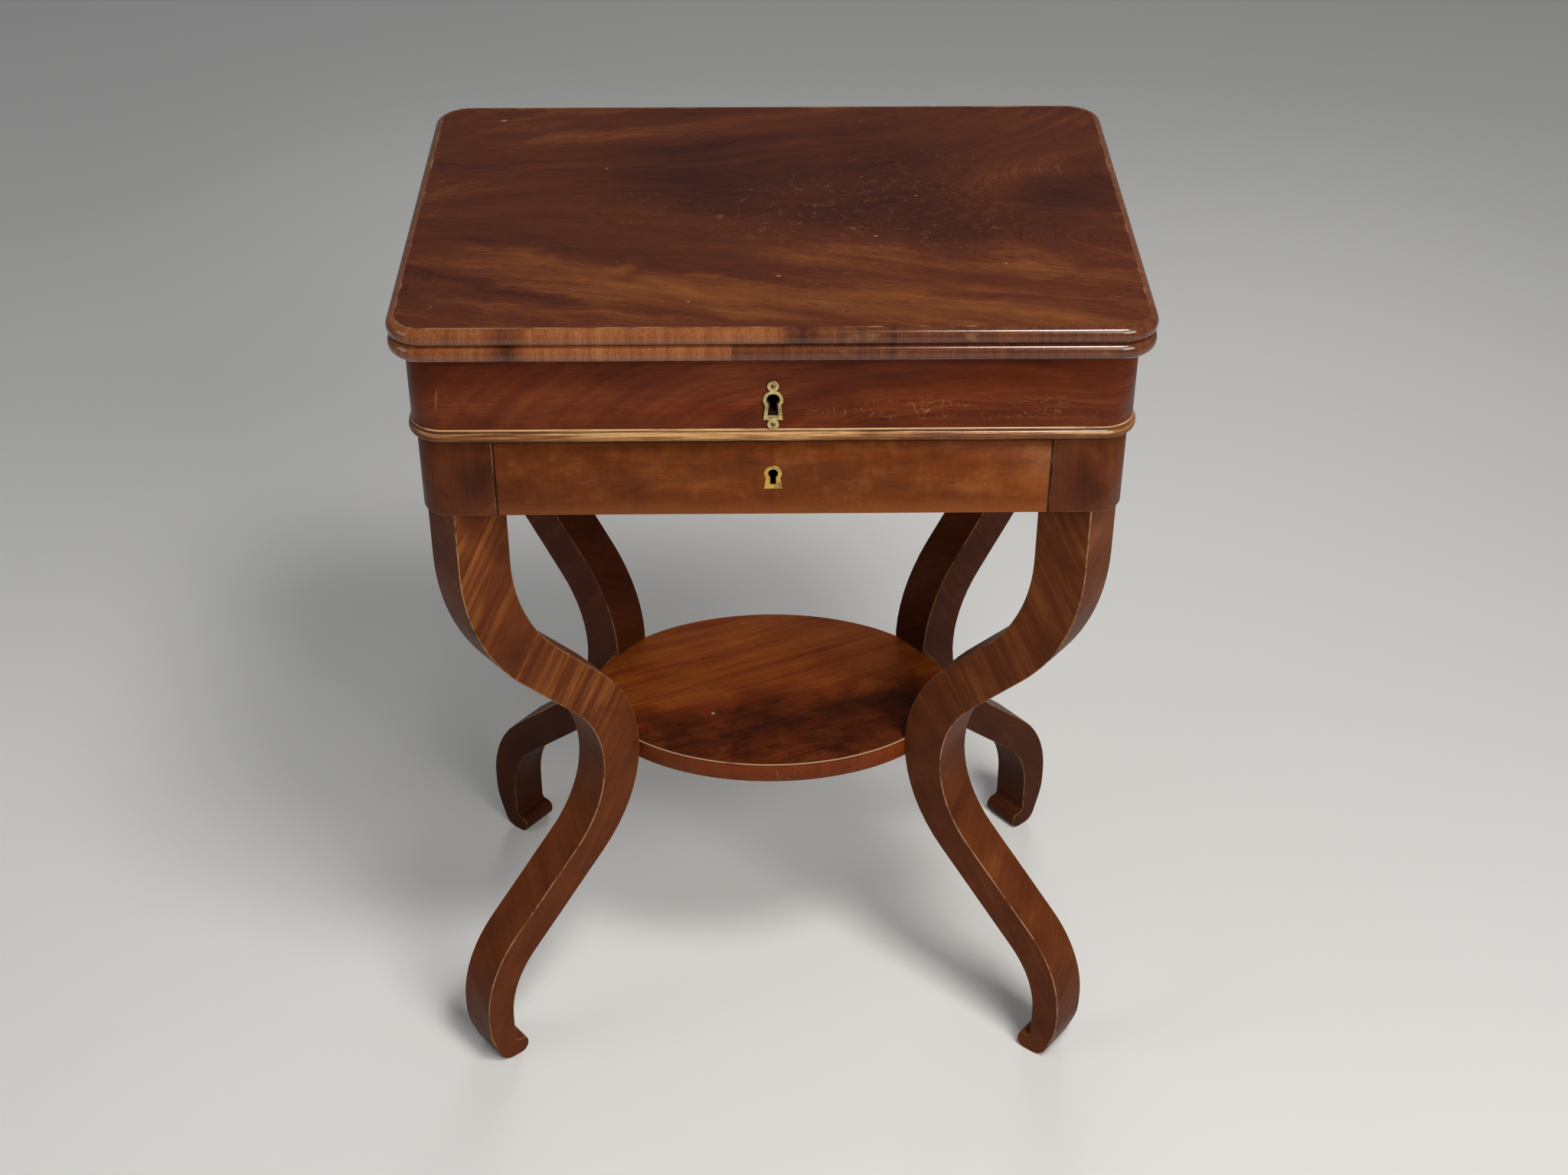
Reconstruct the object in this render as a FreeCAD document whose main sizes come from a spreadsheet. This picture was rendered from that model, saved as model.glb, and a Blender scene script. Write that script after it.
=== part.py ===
import FreeCAD, Part
import math
import os
import re

# Small writing table: a fold-over top of two equal leaves that turns on an off-centre pivot, an upper well
# with its own lock, a lower frieze with a locking drawer, four flat scrolled legs set on the diagonals and
# an oval shelf held between the legs. Millimetres, +Z up, +X to the right and +Y to the back; the origin is
# on the floor under the middle of the case.

SIZES = (
    ("table_height", "740", "floor to the face of the folded top"),
    ("top_width", "545", "width of each leaf"),
    ("top_depth", "387", "depth of each leaf"),
    ("leaf_thickness", "13", "thickness of each leaf"),
    ("leaf_corner_radius", "28", "corner of a leaf seen from above"),
    ("leaf_edge_flat", "1", "flat left between the two rounds of a leaf's edge"),
    ("lining_border", "42", "wood left round the writing lining"),
    ("lining_thickness", "1", "writing lining, flush with its leaf"),
    ("case_width", "520", "lower frieze, outside"),
    ("case_depth", "350", "lower frieze, outside"),
    ("case_corner_radius", "22", "corner of the lower frieze"),
    ("frieze_step", "3", "upper frieze proud of the lower one"),
    ("upper_frieze_height", "62", "upper frieze"),
    ("frieze_thickness", "26", "front and back boards of the upper frieze"),
    ("rail_thickness", "20", "side boards, side rails and back rail"),
    ("bead_round_height", "9", "round part of the bead between the friezes"),
    ("bead_round_flat", "0.6", "flat left on the nose of the bead"),
    ("bead_fillet_height", "2", "square fillet on top of the bead"),
    ("bead_projection", "5.5", "bead proud of the lower frieze"),
    ("bead_fillet_setback", "1.8", "fillet behind the nose of the bead"),
    ("bead_width", "12", "bead strip, front to back"),
    ("bead_return", "32", "length of bead that the front strip carries round each corner"),
    ("lower_frieze_height", "65", "drawer frieze"),
    ("corner_block", "56", "side of the square corner blocks"),
    ("leg_thickness", "37", "board that the legs are sawn from"),
    ("leg_angle", "39", "degrees from the long side of the case to the plane of a leg"),
    ("leg_inset", "0.5", "outer arrises of a leg inside the faces of the case"),
    ("leg_top_width", "46", "leg at its top"),
    ("leg_knee_width", "39.5", "leg between shoulder and waist"),
    ("leg_calf_width", "31", "leg between waist and ankle"),
    ("leg_ankle_width", "25.5", "leg above its foot"),
    ("leg_shoulder_drop", "124", "shoulder turn below the case"),
    ("leg_shoulder_radius", "171", "shoulder, on the centre line"),
    ("leg_waist_height", "269.5", "waist turn above the floor"),
    ("leg_waist_reach", "66", "waist turn from the leg's axis"),
    ("leg_waist_radius", "118", "waist, on the centre line"),
    ("leg_ankle_height", "95", "ankle turn above the floor"),
    ("leg_foot_reach", "254", "middle of the ankle from the leg's axis"),
    ("leg_ankle_radius", "96", "ankle, on the centre line"),
    ("heel_turn_height", "36", "heel, height where it turns in"),
    ("heel_turn_radius", "70", "heel, turn above the sole"),
    ("heel_set", "12.5", "heel, sole inside the outer edge"),
    ("heel_radius", "14", "heel, turn into the sole"),
    ("toe_length", "12", "toe beyond the inner edge of the ankle"),
    ("toe_height", "17", "top of the toe above the floor"),
    ("toe_sole_radius", "8", "round under the toe"),
    ("toe_tip_radius", "6", "round over the toe"),
    ("toe_notch_radius", "4", "hollow between toe and ankle"),
    ("leg_dowel_radius", "9", "round tenon of a leg"),
    ("leg_dowel_length", "32", "round tenon of a leg"),
    ("shelf_length", "310", "long axis of the oval"),
    ("shelf_depth", "216", "short axis of the oval"),
    ("shelf_thickness", "18", "shelf"),
    ("shelf_height", "281", "floor to the face of the shelf"),
    ("shelf_edge_radius", "1.2", "worn arris of the shelf"),
    ("shelf_dowel_radius", "4", "dowel between shelf and leg"),
    ("shelf_dowel_length", "34", "dowel between shelf and leg"),
    ("runner_width", "20", "strips that the drawer sides run on"),
    ("runner_height", "10", "runners and front rail"),
    ("runner_setback", "1.5", "runners behind the drawer front"),
    ("front_rail_depth", "24", "rail behind the foot of the drawer front"),
    ("guide_height", "30", "side guides of the drawer"),
    ("stop_width", "120", "batten that stops the drawer"),
    ("stop_thickness", "10", "batten that stops the drawer"),
    ("stop_height", "20", "batten that stops the drawer"),
    ("drawer_gap", "0.5", "play round the drawer front"),
    ("drawer_front_thickness", "20", "drawer front"),
    ("drawer_side_thickness", "10", "drawer sides and back"),
    ("drawer_side_drop", "6", "drawer sides below the bead"),
    ("drawer_bottom_lift", "5", "drawer bottom above the runners"),
    ("drawer_bottom_thickness", "6", "drawer bottom"),
    ("drawer_groove", "4", "depth of the grooves that hold the drawer bottom"),
    ("dovetail_lap", "6", "wood of the drawer front before the dovetails"),
    ("dovetail_width", "15", "dovetails of the drawer sides, at the root"),
    ("dovetail_flare", "2.2", "spread of a dovetail on each side"),
    ("back_pin_width", "8", "pins of the drawer back, at their narrow end"),
    ("back_pin_flare", "1.6", "spread of a pin on each side"),
    ("rail_tenon_thickness", "8", "tenons of the rails and of the frieze's side boards"),
    ("rail_tenon_shoulder", "12", "shoulder above and below these tenons"),
    ("rail_tenon_length", "14", "tenons of the rails in the corner blocks"),
    ("frieze_tenon_length", "8", "tenons of the frieze's side boards"),
    ("pivot_radius", "8", "shank of the swivel pivot"),
    ("pivot_clearance", "0.05", "play of the shank in its bearer"),
    ("pivot_flange_radius", "30", "flange let into the lower leaf"),
    ("pivot_flange_thickness", "4", "flange let into the lower leaf"),
    ("bearer_width", "70", "board that carries the pivot"),
    ("bearer_thickness", "22", "board that carries the pivot"),
    ("washer_radius", "20", "washer under the bearer"),
    ("washer_thickness", "2", "washer under the bearer"),
    ("nut_radius", "14", "nut, over its corners"),
    ("nut_height", "8", "nut on the pivot"),
    ("hinge_inset", "95", "middle of a hinge from the end of the leaf"),
    ("hinge_length", "50", "length of a hinge"),
    ("hinge_middle", "20", "length of the middle knuckle"),
    ("hinge_plate_depth", "24", "hinge plate, front to back"),
    ("hinge_plate_thickness", "1.6", "hinge plate"),
    ("hinge_knuckle_radius", "2.5", "knuckle of a hinge"),
    ("hinge_pin_radius", "1.3", "pin of a hinge"),
    ("hinge_pin_clearance", "0.05", "play of the pin in the middle knuckle"),
    ("hinge_gap", "0.3", "play round the knuckles"),
    ("lock_width", "44", "lock cases"),
    ("lock_height", "42", "lock cases"),
    ("lock_depth", "10", "lock cases"),
    ("lock_drop", "0.5", "lock cases below the edge that they lock to"),
    ("bolt_width", "12", "lock bolts"),
    ("bolt_thickness", "4", "lock bolts"),
    ("bolt_length", "24", "lock bolts"),
    ("bolt_throw", "6", "travel of the lock bolts"),
    ("bolt_play", "0.2", "play round the lock bolts"),
    ("mortise_play", "0.5", "play of a bolt in its mortise"),
    ("strike_margin", "7", "strike plate round its slot"),
    ("strike_thickness", "1.5", "strike plate in the lower leaf"),
    ("upper_hole_radius", "4.5", "upper keyhole in the wood, round head"),
    ("upper_hole_slot", "5.2", "upper keyhole in the wood, slot"),
    ("upper_hole_drop", "10.5", "upper keyhole in the wood, foot below its head"),
    ("drawer_hole_radius", "3.6", "drawer keyhole, round head"),
    ("drawer_hole_slot", "4.2", "drawer keyhole, slot"),
    ("drawer_hole_drop", "9.6", "drawer keyhole, foot below its head"),
    ("upper_keyhole_rise", "24.6", "upper keyhole above the bead"),
    ("plate_thickness", "1.8", "upper escutcheon, on the surface"),
    ("plate_ring_radius", "7.3", "upper escutcheon, ring"),
    ("plate_hole_radius", "4.9", "upper escutcheon, hole"),
    ("plate_neck_width", "10.4", "upper escutcheon, foot at the ring"),
    ("plate_stem_width", "5", "upper escutcheon, stem between its lugs"),
    ("plate_foot_width", "14", "upper escutcheon, foot at its base"),
    ("plate_foot_drop", "16.5", "upper escutcheon, base below the hole"),
    ("plate_lug_radius", "4.2", "upper escutcheon, round lugs"),
    ("plate_top_lug_rise", "11.2", "upper escutcheon, top lug above the hole"),
    ("plate_foot_lug_drop", "20.2", "upper escutcheon, foot lug below the hole"),
    ("plate_slot_neck", "5.8", "upper escutcheon, slot at the hole"),
    ("plate_slot_foot", "8", "upper escutcheon, slot at its base"),
    ("plate_slot_drop", "13.2", "upper escutcheon, base of its slot below the hole"),
    ("pin_head_radius", "1.7", "escutcheon pins"),
    ("pin_head_height", "1", "escutcheon pins"),
    ("pin_shank_radius", "0.8", "escutcheon pins"),
    ("pin_shank_length", "9", "escutcheon pins"),
    ("drawer_keyhole_rise", "35.5", "drawer keyhole above the foot of the frieze"),
    ("inlay_thickness", "1.6", "drawer escutcheon, flush with the wood"),
    ("inlay_radius", "6.5", "drawer escutcheon, round head"),
    ("inlay_neck_width", "9.6", "drawer escutcheon, foot at the hole"),
    ("inlay_foot_width", "13.4", "drawer escutcheon, foot at its base"),
    ("inlay_foot_drop", "13.1", "drawer escutcheon, base below the hole"),
)
ALIASES = {alias for alias, number, meaning in SIZES}

# Levels and places worked out from the sheet, as text for expressions
LEAF_JOINT = "(table_height - leaf_thickness)"
CASE_TOP = "(table_height - 2 * leaf_thickness)"
BEAD_TOP = f"({CASE_TOP} - upper_frieze_height)"
BEAD_FILLET = f"({BEAD_TOP} - bead_fillet_height)"
BEAD_BOTTOM = f"({BEAD_FILLET} - bead_round_height)"
CASE_BOTTOM = f"({BEAD_BOTTOM} - lower_frieze_height)"
RUNNER_TOP = f"({CASE_BOTTOM} + runner_height)"
CASE_X = "(case_width / 2)"
CASE_Y = "(case_depth / 2)"
UPPER_X = f"({CASE_X} + frieze_step)"
UPPER_Y = f"({CASE_Y} + frieze_step)"
WELL_X = f"({UPPER_X} - rail_thickness)"
WELL_Y = f"({UPPER_Y} - frieze_thickness)"
BEAD_X = f"({CASE_X} + bead_projection)"
BEAD_Y = f"({CASE_Y} + bead_projection)"
FILLET_X = f"({BEAD_X} - bead_fillet_setback)"
FILLET_Y = f"({BEAD_Y} - bead_fillet_setback)"
FLOOR_X = f"({BEAD_X} - bead_width)"
FLOOR_Y = f"({BEAD_Y} - bead_width)"
OPENING_X = f"({CASE_X} - corner_block)"
BLOCK_Y = f"({CASE_Y} - corner_block)"
RUNNER_X = f"({OPENING_X} - runner_width)"
RUNNER_FRONT = f"(-{CASE_Y} + drawer_front_thickness + runner_setback)"
BACK_INSIDE = f"({CASE_Y} - rail_thickness)"
DRAWER_X = f"({OPENING_X} - drawer_gap)"
DRAWER_INSIDE = f"(-{CASE_Y} + drawer_front_thickness)"
DRAWER_END = f"({BACK_INSIDE} - stop_thickness)"
DRAWER_TOP = f"({BEAD_BOTTOM} - drawer_gap)"
SIDE_TOP = f"({BEAD_BOTTOM} - drawer_side_drop)"
PANEL_FOOT = f"({RUNNER_TOP} + drawer_bottom_lift)"
PANEL_TOP = f"({PANEL_FOOT} + drawer_bottom_thickness)"
PANEL_X = f"({DRAWER_X} - drawer_side_thickness + drawer_groove)"
PANEL_FRONT = f"({DRAWER_INSIDE} - drawer_groove)"
DRAWER_KEYHOLE = f"({CASE_BOTTOM} + drawer_keyhole_rise)"
UPPER_KEYHOLE = f"({BEAD_TOP} + upper_keyhole_rise)"
PIVOT = "(top_depth / 4)"
HINGE_Y = "(top_depth / 2)"
HINGE_X = "(top_width / 2 - hinge_inset)"
LEG_TOP_X = (f"({CASE_X} - leg_inset - cos(leg_angle) * leg_top_width / 2"
             " - sin(leg_angle) * leg_thickness / 2)")
LEG_TOP_Y = (f"({CASE_Y} - leg_inset - sin(leg_angle) * leg_top_width / 2"
             " - cos(leg_angle) * leg_thickness / 2)")
LEG_AXIS_X = f"({LEG_TOP_X} - {LEG_TOP_Y} / tan(leg_angle))"
LEG_TOP_REACH = f"({LEG_TOP_Y} / sin(leg_angle))"

SIDES = (("left", "-"), ("right", "+"))
ENDS = (("front", "-"), ("back", "+"))
TURN_TO = {
    "x": FreeCAD.Rotation(FreeCAD.Vector(0, 1, 0), 90),
    "y": FreeCAD.Rotation(FreeCAD.Vector(1, 0, 0), -90),
    "z": FreeCAD.Rotation(),
}
LEG_TURNS = {
    ("front", "left"): "leg_angle - 180",
    ("front", "right"): "-leg_angle",
    ("back", "left"): "180 - leg_angle",
    ("back", "right"): "leg_angle",
}

DOC = FreeCAD.newDocument("WritingTable")
SHEET = DOC.addObject("Spreadsheet::Sheet", "Sizes")
for row, (alias, number, meaning) in enumerate(SIZES, 1):
    SHEET.set(f"A{row}", alias)
    SHEET.set(f"B{row}", number)
    SHEET.set(f"C{row}", meaning)
    SHEET.setAlias(f"B{row}", alias)
DOC.recompute()
PIECES = []


# Helpers

def value(text):
    """Number that an expression of the sheet's names has now."""
    return float(SHEET.evalExpression(text))


def bound(text):
    """Expression text with the sheet's name before each of its sizes."""
    return re.sub(r"[a-z_]+", lambda word: "Sizes." + word[0] if word[0] in ALIASES else word[0], text)


def mirrored(sign, inner, outer):
    """Span from inner to outer on the side of the sign, as a pair that runs upwards."""
    return (inner, outer) if sign == "+" else (f"-({outer})", f"-({inner})")


def both(half):
    """Span that is the same on both sides of the middle."""
    return (f"-({half})", half)


def piece(label):
    """New empty body for one sub-part, which is exported under its label."""
    body = DOC.addObject("PartDesign::Body", label)
    body.Label = label
    PIECES.append(body)
    return body


def block(body, x, y, z, kind="Additive"):
    """Box that fills three spans, or cuts them with kind Subtractive."""
    feature = body.newObject(f"PartDesign::{kind}Box", f"{body.Name}_block")
    for side, axis, (low, high) in (("Length", "x", x), ("Width", "y", y), ("Height", "z", z)):
        feature.setExpression(side, bound(f"({high}) - ({low})"))
        feature.setExpression(f"Placement.Base.{axis}", bound(low))
    return feature


def rod(body, axis, centre, radius, span, kind="Additive"):
    """Cylinder along an axis; centre holds its two other coordinates in the order of x, y and z."""
    feature = body.newObject(f"PartDesign::{kind}Cylinder", f"{body.Name}_rod")
    feature.Placement = FreeCAD.Placement(FreeCAD.Vector(), TURN_TO[axis])
    feature.setExpression("Radius", bound(radius))
    feature.setExpression("Height", bound(f"({span[1]}) - ({span[0]})"))
    across = [name for name in "xyz" if name != axis]
    for name, text in ((axis, span[0]), *zip(across, centre)):
        feature.setExpression(f"Placement.Base.{name}", bound(text))
    return feature


def wedge(body, x, y, z_front, z_back, kind="Additive"):
    """Dovetail along y, whose span along z goes from z_front to z_back, or its socket with kind Subtractive."""
    feature = body.newObject(f"PartDesign::{kind}Wedge", f"{body.Name}_wedge")
    ends = (("X", x), ("X2", x), ("Y", y), ("Z", z_front), ("Z2", z_back))
    for name, (low, high) in ends:
        feature.setExpression(f"{name}min", bound(low))
        feature.setExpression(f"{name}max", bound(high))
    return feature


def flare(body, y, z, foot, neck, kind="Additive"):
    """Plate about the middle whose width goes from foot, at its lower end, to neck, or its cut."""
    feature = body.newObject(f"PartDesign::{kind}Wedge", f"{body.Name}_flare")
    feature.Placement = FreeCAD.Placement(FreeCAD.Vector(), FreeCAD.Rotation(FreeCAD.Vector(1, 0, 0), 90))
    depth = (f"-({y[1]})", f"-({y[0]})")
    ends = (("X", both(f"{foot} / 2")), ("X2", both(f"{neck} / 2")), ("Y", z), ("Z", depth), ("Z2", depth))
    for name, (low, high) in ends:
        feature.setExpression(f"{name}min", bound(low))
        feature.setExpression(f"{name}max", bound(high))
    return feature


def quarter_levels(low, high):
    """Heights of the two joints that share the height of a board."""
    return [f"({low} + ({high} - {low}) * {share})" for share in ("0.25", "0.75")]


def centred(middle, width):
    """Span of a width about a middle."""
    return (f"{middle} - ({width}) / 2", f"{middle} + ({width}) / 2")


def round_edges(body, radius, chosen):
    """Round the edges of a body that chosen(edge, box of the body) picks."""
    DOC.recompute()
    base = body.Tip
    box = base.Shape.BoundBox
    names = [f"Edge{number}" for number, edge in enumerate(base.Shape.Edges, 1) if chosen(edge, box)]
    fillet = body.newObject("PartDesign::Fillet", f"{body.Name}_round")
    fillet.Base = (base, names)
    fillet.setExpression("Radius", bound(radius))
    return fillet


def upright_corner(x_sign, y_sign):
    """Choice of the upright edge at one corner of a body."""
    def chosen(edge, box):
        middle = edge.CenterOfMass
        x_side = box.XMax if x_sign == "+" else box.XMin
        y_side = box.YMax if y_sign == "+" else box.YMin
        at_corner = math.hypot(middle.x - x_side, middle.y - y_side) < 0.001
        return at_corner and edge.BoundBox.ZLength > 0.001
    return chosen


def flat_rims(edge, box):
    """Choice of the edges round the top and the bottom of a body."""
    low, high = edge.BoundBox.ZMin, edge.BoundBox.ZMax
    return high - box.ZMin < 0.001 or box.ZMax - low < 0.001


def outward_rim(axis, limit):
    """Choice of the top and bottom edges that lie further out along an axis than a limit."""
    def chosen(edge, box):
        outside = abs(getattr(edge.CenterOfMass, axis)) > limit
        return outside and flat_rims(edge, box)
    return chosen


def rounded_outline(corners):
    """Closed run of lines and arcs round corners given as (x, y, radius).

    Where two rounds need more than the line between them has, both are eased to fit it.
    """
    points = [FreeCAD.Vector(x, y, 0) for x, y, radius in corners]
    count = len(points)
    runs = [points[(i + 1) % count] - points[i] for i in range(count)]
    halves = [math.tan(runs[i - 1].getAngle(runs[i]) / 2) for i in range(count)]
    lengths = [radius * half for (x, y, radius), half in zip(corners, halves)]
    share = [min(1, run.Length / max(lengths[i] + lengths[(i + 1) % count], 1e-9))
             for i, run in enumerate(runs)]
    lengths = [length * min(share[i - 1], share[i]) for i, length in enumerate(lengths)]
    edges = []
    for i, point in enumerate(points):
        before = FreeCAD.Vector(runs[i - 1]).normalize()
        after = FreeCAD.Vector(runs[i]).normalize()
        start = point - before * lengths[i]
        end = point + after * lengths[i]
        if lengths[i] > 0:
            radius = lengths[i] / halves[i]
            inward = (after - before).normalize()
            middle = point + inward * (math.hypot(radius, lengths[i]) - radius)
            edges.append(Part.Arc(start, middle, end))
        following = (i + 1) % count
        finish = points[following] - after * lengths[following]
        if (finish - end).Length > 1e-6:
            edges.append(Part.LineSegment(end, finish))
    return edges


def pad(body, plane, outline, height, level="0", symmetric=False):
    """Pad a drawn outline from a plane of the body, at a level along the plane's normal."""
    sketch = body.newObject("Sketcher::SketchObject", f"{body.Name}_outline")
    support = [feature for feature in body.Origin.OriginFeatures if feature.Role == plane]
    sketch.AttachmentSupport = [(support[0], "")]
    sketch.MapMode = "FlatFace"
    sketch.setExpression("AttachmentOffset.Base.z", bound(level))
    sketch.addGeometry(outline)
    feature = body.newObject("PartDesign::Pad", f"{body.Name}_pad")
    feature.Profile = sketch
    feature.SideType = "Symmetric" if symmetric else "One side"
    feature.setExpression("Length", bound(height))
    return feature


def keyhole(body, hole, level, y):
    """Cut the upper or the drawer keyhole through a board or plate."""
    rod(body, "y", ("0", level), f"{hole}_radius", y, "Subtractive")
    block(body, both(f"{hole}_slot / 2"), y, (f"{level} - {hole}_drop", level), "Subtractive")


# Fold-over top

def leaf(label, z):
    """One leaf with rounded corners and a rounded edge all the way round."""
    body = piece(label)
    block(body, both("top_width / 2"), both("top_depth / 2"), z)
    for x_sign in "-+":
        for y_sign in "-+":
            round_edges(body, "leaf_corner_radius", upright_corner(x_sign, y_sign))
    round_edges(body, "(leaf_thickness - leaf_edge_flat) / 2", flat_rims)
    return body


def hinge_spans(side):
    """Spans along x of a hinge's plate, its two end knuckles and its middle knuckle."""
    middle = f"(-{HINGE_X})" if side == "left" else HINGE_X
    ends = [f"({middle} - hinge_length / 2)", f"({middle} + hinge_length / 2)"]
    inner = [f"({middle} - hinge_middle / 2)", f"({middle} + hinge_middle / 2)"]
    end_knuckles = [(ends[0], inner[0]), (inner[1], ends[1])]
    middle_knuckle = (f"{inner[0]} + hinge_gap", f"{inner[1]} - hinge_gap")
    return tuple(ends), end_knuckles, [middle_knuckle]


def hinge_seat(body, plate_z):
    """Recesses of both hinges in a leaf, and the room for their knuckles."""
    for side, sign in SIDES:
        plate_x = hinge_spans(side)[0]
        block(body, plate_x, (f"{HINGE_Y} - hinge_plate_depth", HINGE_Y), plate_z, "Subtractive")
        rod(body, "x", (HINGE_Y, LEAF_JOINT), "hinge_knuckle_radius + hinge_gap", plate_x, "Subtractive")


def hinge_plate(label, plate_x, knuckles, plate_z, bore):
    """Plate of a hinge with its knuckles, bored for the pin."""
    body = piece(label)
    neck = f"({HINGE_Y} - hinge_knuckle_radius - hinge_gap)"
    block(body, plate_x, (f"{HINGE_Y} - hinge_plate_depth", neck), plate_z)
    for knuckle_x in knuckles:
        block(body, knuckle_x, (neck, HINGE_Y), plate_z)
        rod(body, "x", (HINGE_Y, LEAF_JOINT), "hinge_knuckle_radius", knuckle_x)
    rod(body, "x", (HINGE_Y, LEAF_JOINT), bore, plate_x, "Subtractive")


def fold_over_top():
    """Both leaves, their linings, hinges and strike plate."""
    lower_z = (CASE_TOP, LEAF_JOINT)
    upper_z = (LEAF_JOINT, "table_height")
    lower_plate = (f"{LEAF_JOINT} - hinge_plate_thickness", LEAF_JOINT)
    upper_plate = (LEAF_JOINT, f"{LEAF_JOINT} + hinge_plate_thickness")
    lining_x = both("top_width / 2 - lining_border")
    lining_y = both("top_depth / 2 - lining_border")
    lower_lining = (f"{LEAF_JOINT} - lining_thickness", LEAF_JOINT)
    upper_lining = (LEAF_JOINT, f"{LEAF_JOINT} + lining_thickness")

    lower = leaf("lower_leaf", lower_z)
    upper = leaf("upper_leaf", upper_z)
    for body, plate_z, lining_z in ((lower, lower_plate, lower_lining), (upper, upper_plate, upper_lining)):
        hinge_seat(body, plate_z)
        block(body, lining_x, lining_y, lining_z, "Subtractive")
    block(piece("lower_lining"), lining_x, lining_y, lower_lining)
    block(piece("upper_lining"), lining_x, lining_y, upper_lining)

    for side, sign in SIDES:
        plate_x, end_knuckles, middle_knuckle = hinge_spans(side)
        hinge_plate(f"hinge_{side}_lower_plate", plate_x, end_knuckles, lower_plate, "hinge_pin_radius")
        hinge_plate(f"hinge_{side}_upper_plate", plate_x, middle_knuckle, upper_plate,
                    "hinge_pin_radius + hinge_pin_clearance")
        rod(piece(f"hinge_{side}_pin"), "x", (HINGE_Y, LEAF_JOINT), "hinge_pin_radius", plate_x)

    flange_z = (CASE_TOP, f"{CASE_TOP} + pivot_flange_thickness")
    rod(lower, "z", (PIVOT, PIVOT), "pivot_flange_radius", flange_z, "Subtractive")
    bolt_y = bolt_span(f"(-{WELL_Y})", "mortise_play")
    bolt_x = both("bolt_width / 2 + mortise_play")
    plate_x = both("bolt_width / 2 + mortise_play + strike_margin")
    plate_y = (f"{bolt_y[0]} - strike_margin", f"{bolt_y[1]} + strike_margin")
    plate_z = (CASE_TOP, f"{CASE_TOP} + strike_thickness")
    mortise_z = (CASE_TOP, f"{CASE_TOP} - lock_drop + bolt_throw + mortise_play")
    block(lower, plate_x, plate_y, plate_z, "Subtractive")
    block(lower, bolt_x, bolt_y, mortise_z, "Subtractive")
    strike = piece("top_lock_strike")
    block(strike, plate_x, plate_y, plate_z)
    block(strike, bolt_x, bolt_y, plate_z, "Subtractive")


def swivel_pivot():
    """Pivot that the top turns on, the board that carries it, and its washer and nut."""
    centre = (PIVOT, PIVOT)
    bearer_foot = f"({CASE_TOP} - bearer_thickness)"
    washer_foot = f"({bearer_foot} - washer_thickness)"
    nut_foot = f"({washer_foot} - nut_height)"

    bearer = piece("pivot_bearer")
    bearer_x = (f"{PIVOT} - bearer_width / 2", f"{PIVOT} + bearer_width / 2")
    block(bearer, bearer_x, both(WELL_Y), (bearer_foot, CASE_TOP))
    rod(bearer, "z", centre, "pivot_radius + pivot_clearance", (bearer_foot, CASE_TOP), "Subtractive")

    pin = piece("pivot_pin")
    rod(pin, "z", centre, "pivot_flange_radius", (CASE_TOP, f"{CASE_TOP} + pivot_flange_thickness"))
    rod(pin, "z", centre, "pivot_radius", (nut_foot, CASE_TOP))

    washer = piece("pivot_washer")
    rod(washer, "z", centre, "washer_radius", (washer_foot, bearer_foot))
    rod(washer, "z", centre, "pivot_radius", (washer_foot, bearer_foot), "Subtractive")

    nut = piece("pivot_nut")
    hexagon = nut.newObject("PartDesign::AdditivePrism", "pivot_nut_hexagon")
    hexagon.Polygon = 6
    hexagon.setExpression("Circumradius", bound("nut_radius"))
    hexagon.setExpression("Height", bound("nut_height"))
    for axis, text in zip("xyz", (PIVOT, PIVOT, nut_foot)):
        hexagon.setExpression(f"Placement.Base.{axis}", bound(text))
    rod(nut, "z", centre, "pivot_radius", (nut_foot, washer_foot), "Subtractive")


# Case

def upper_frieze():
    """Four boards round the well; the front and back ones carry the rounded corners."""
    z = (BEAD_TOP, CASE_TOP)
    tenon_y = both(f"{WELL_Y} + frieze_tenon_length")
    tenon_z = (f"{BEAD_TOP} + rail_tenon_shoulder", f"{CASE_TOP} - rail_tenon_shoulder")
    tenon_x = centred(f"({UPPER_X} - rail_thickness / 2)", "rail_tenon_thickness")
    for end, y_sign in ENDS:
        board = piece(f"upper_frieze_{end}")
        block(board, both(UPPER_X), mirrored(y_sign, WELL_Y, UPPER_Y), z)
        for x_sign in "-+":
            round_edges(board, "case_corner_radius + frieze_step", upright_corner(x_sign, y_sign))
        for x_sign in "-+":
            block(board, mirrored(x_sign, *tenon_x), tenon_y, tenon_z, "Subtractive")
        if end == "front":
            through = mirrored(y_sign, WELL_Y, UPPER_Y)
            keyhole(board, "upper_hole", UPPER_KEYHOLE, through)
            for level in escutcheon_pin_levels():
                shank_y = (f"-{UPPER_Y}", f"-{UPPER_Y} - plate_thickness + pin_shank_length")
                rod(board, "y", ("0", level), "pin_shank_radius", shank_y, "Subtractive")
    for side, x_sign in SIDES:
        board = piece(f"upper_frieze_{side}")
        block(board, mirrored(x_sign, WELL_X, UPPER_X), both(WELL_Y), z)
        block(board, mirrored(x_sign, *tenon_x), tenon_y, tenon_z)


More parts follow.
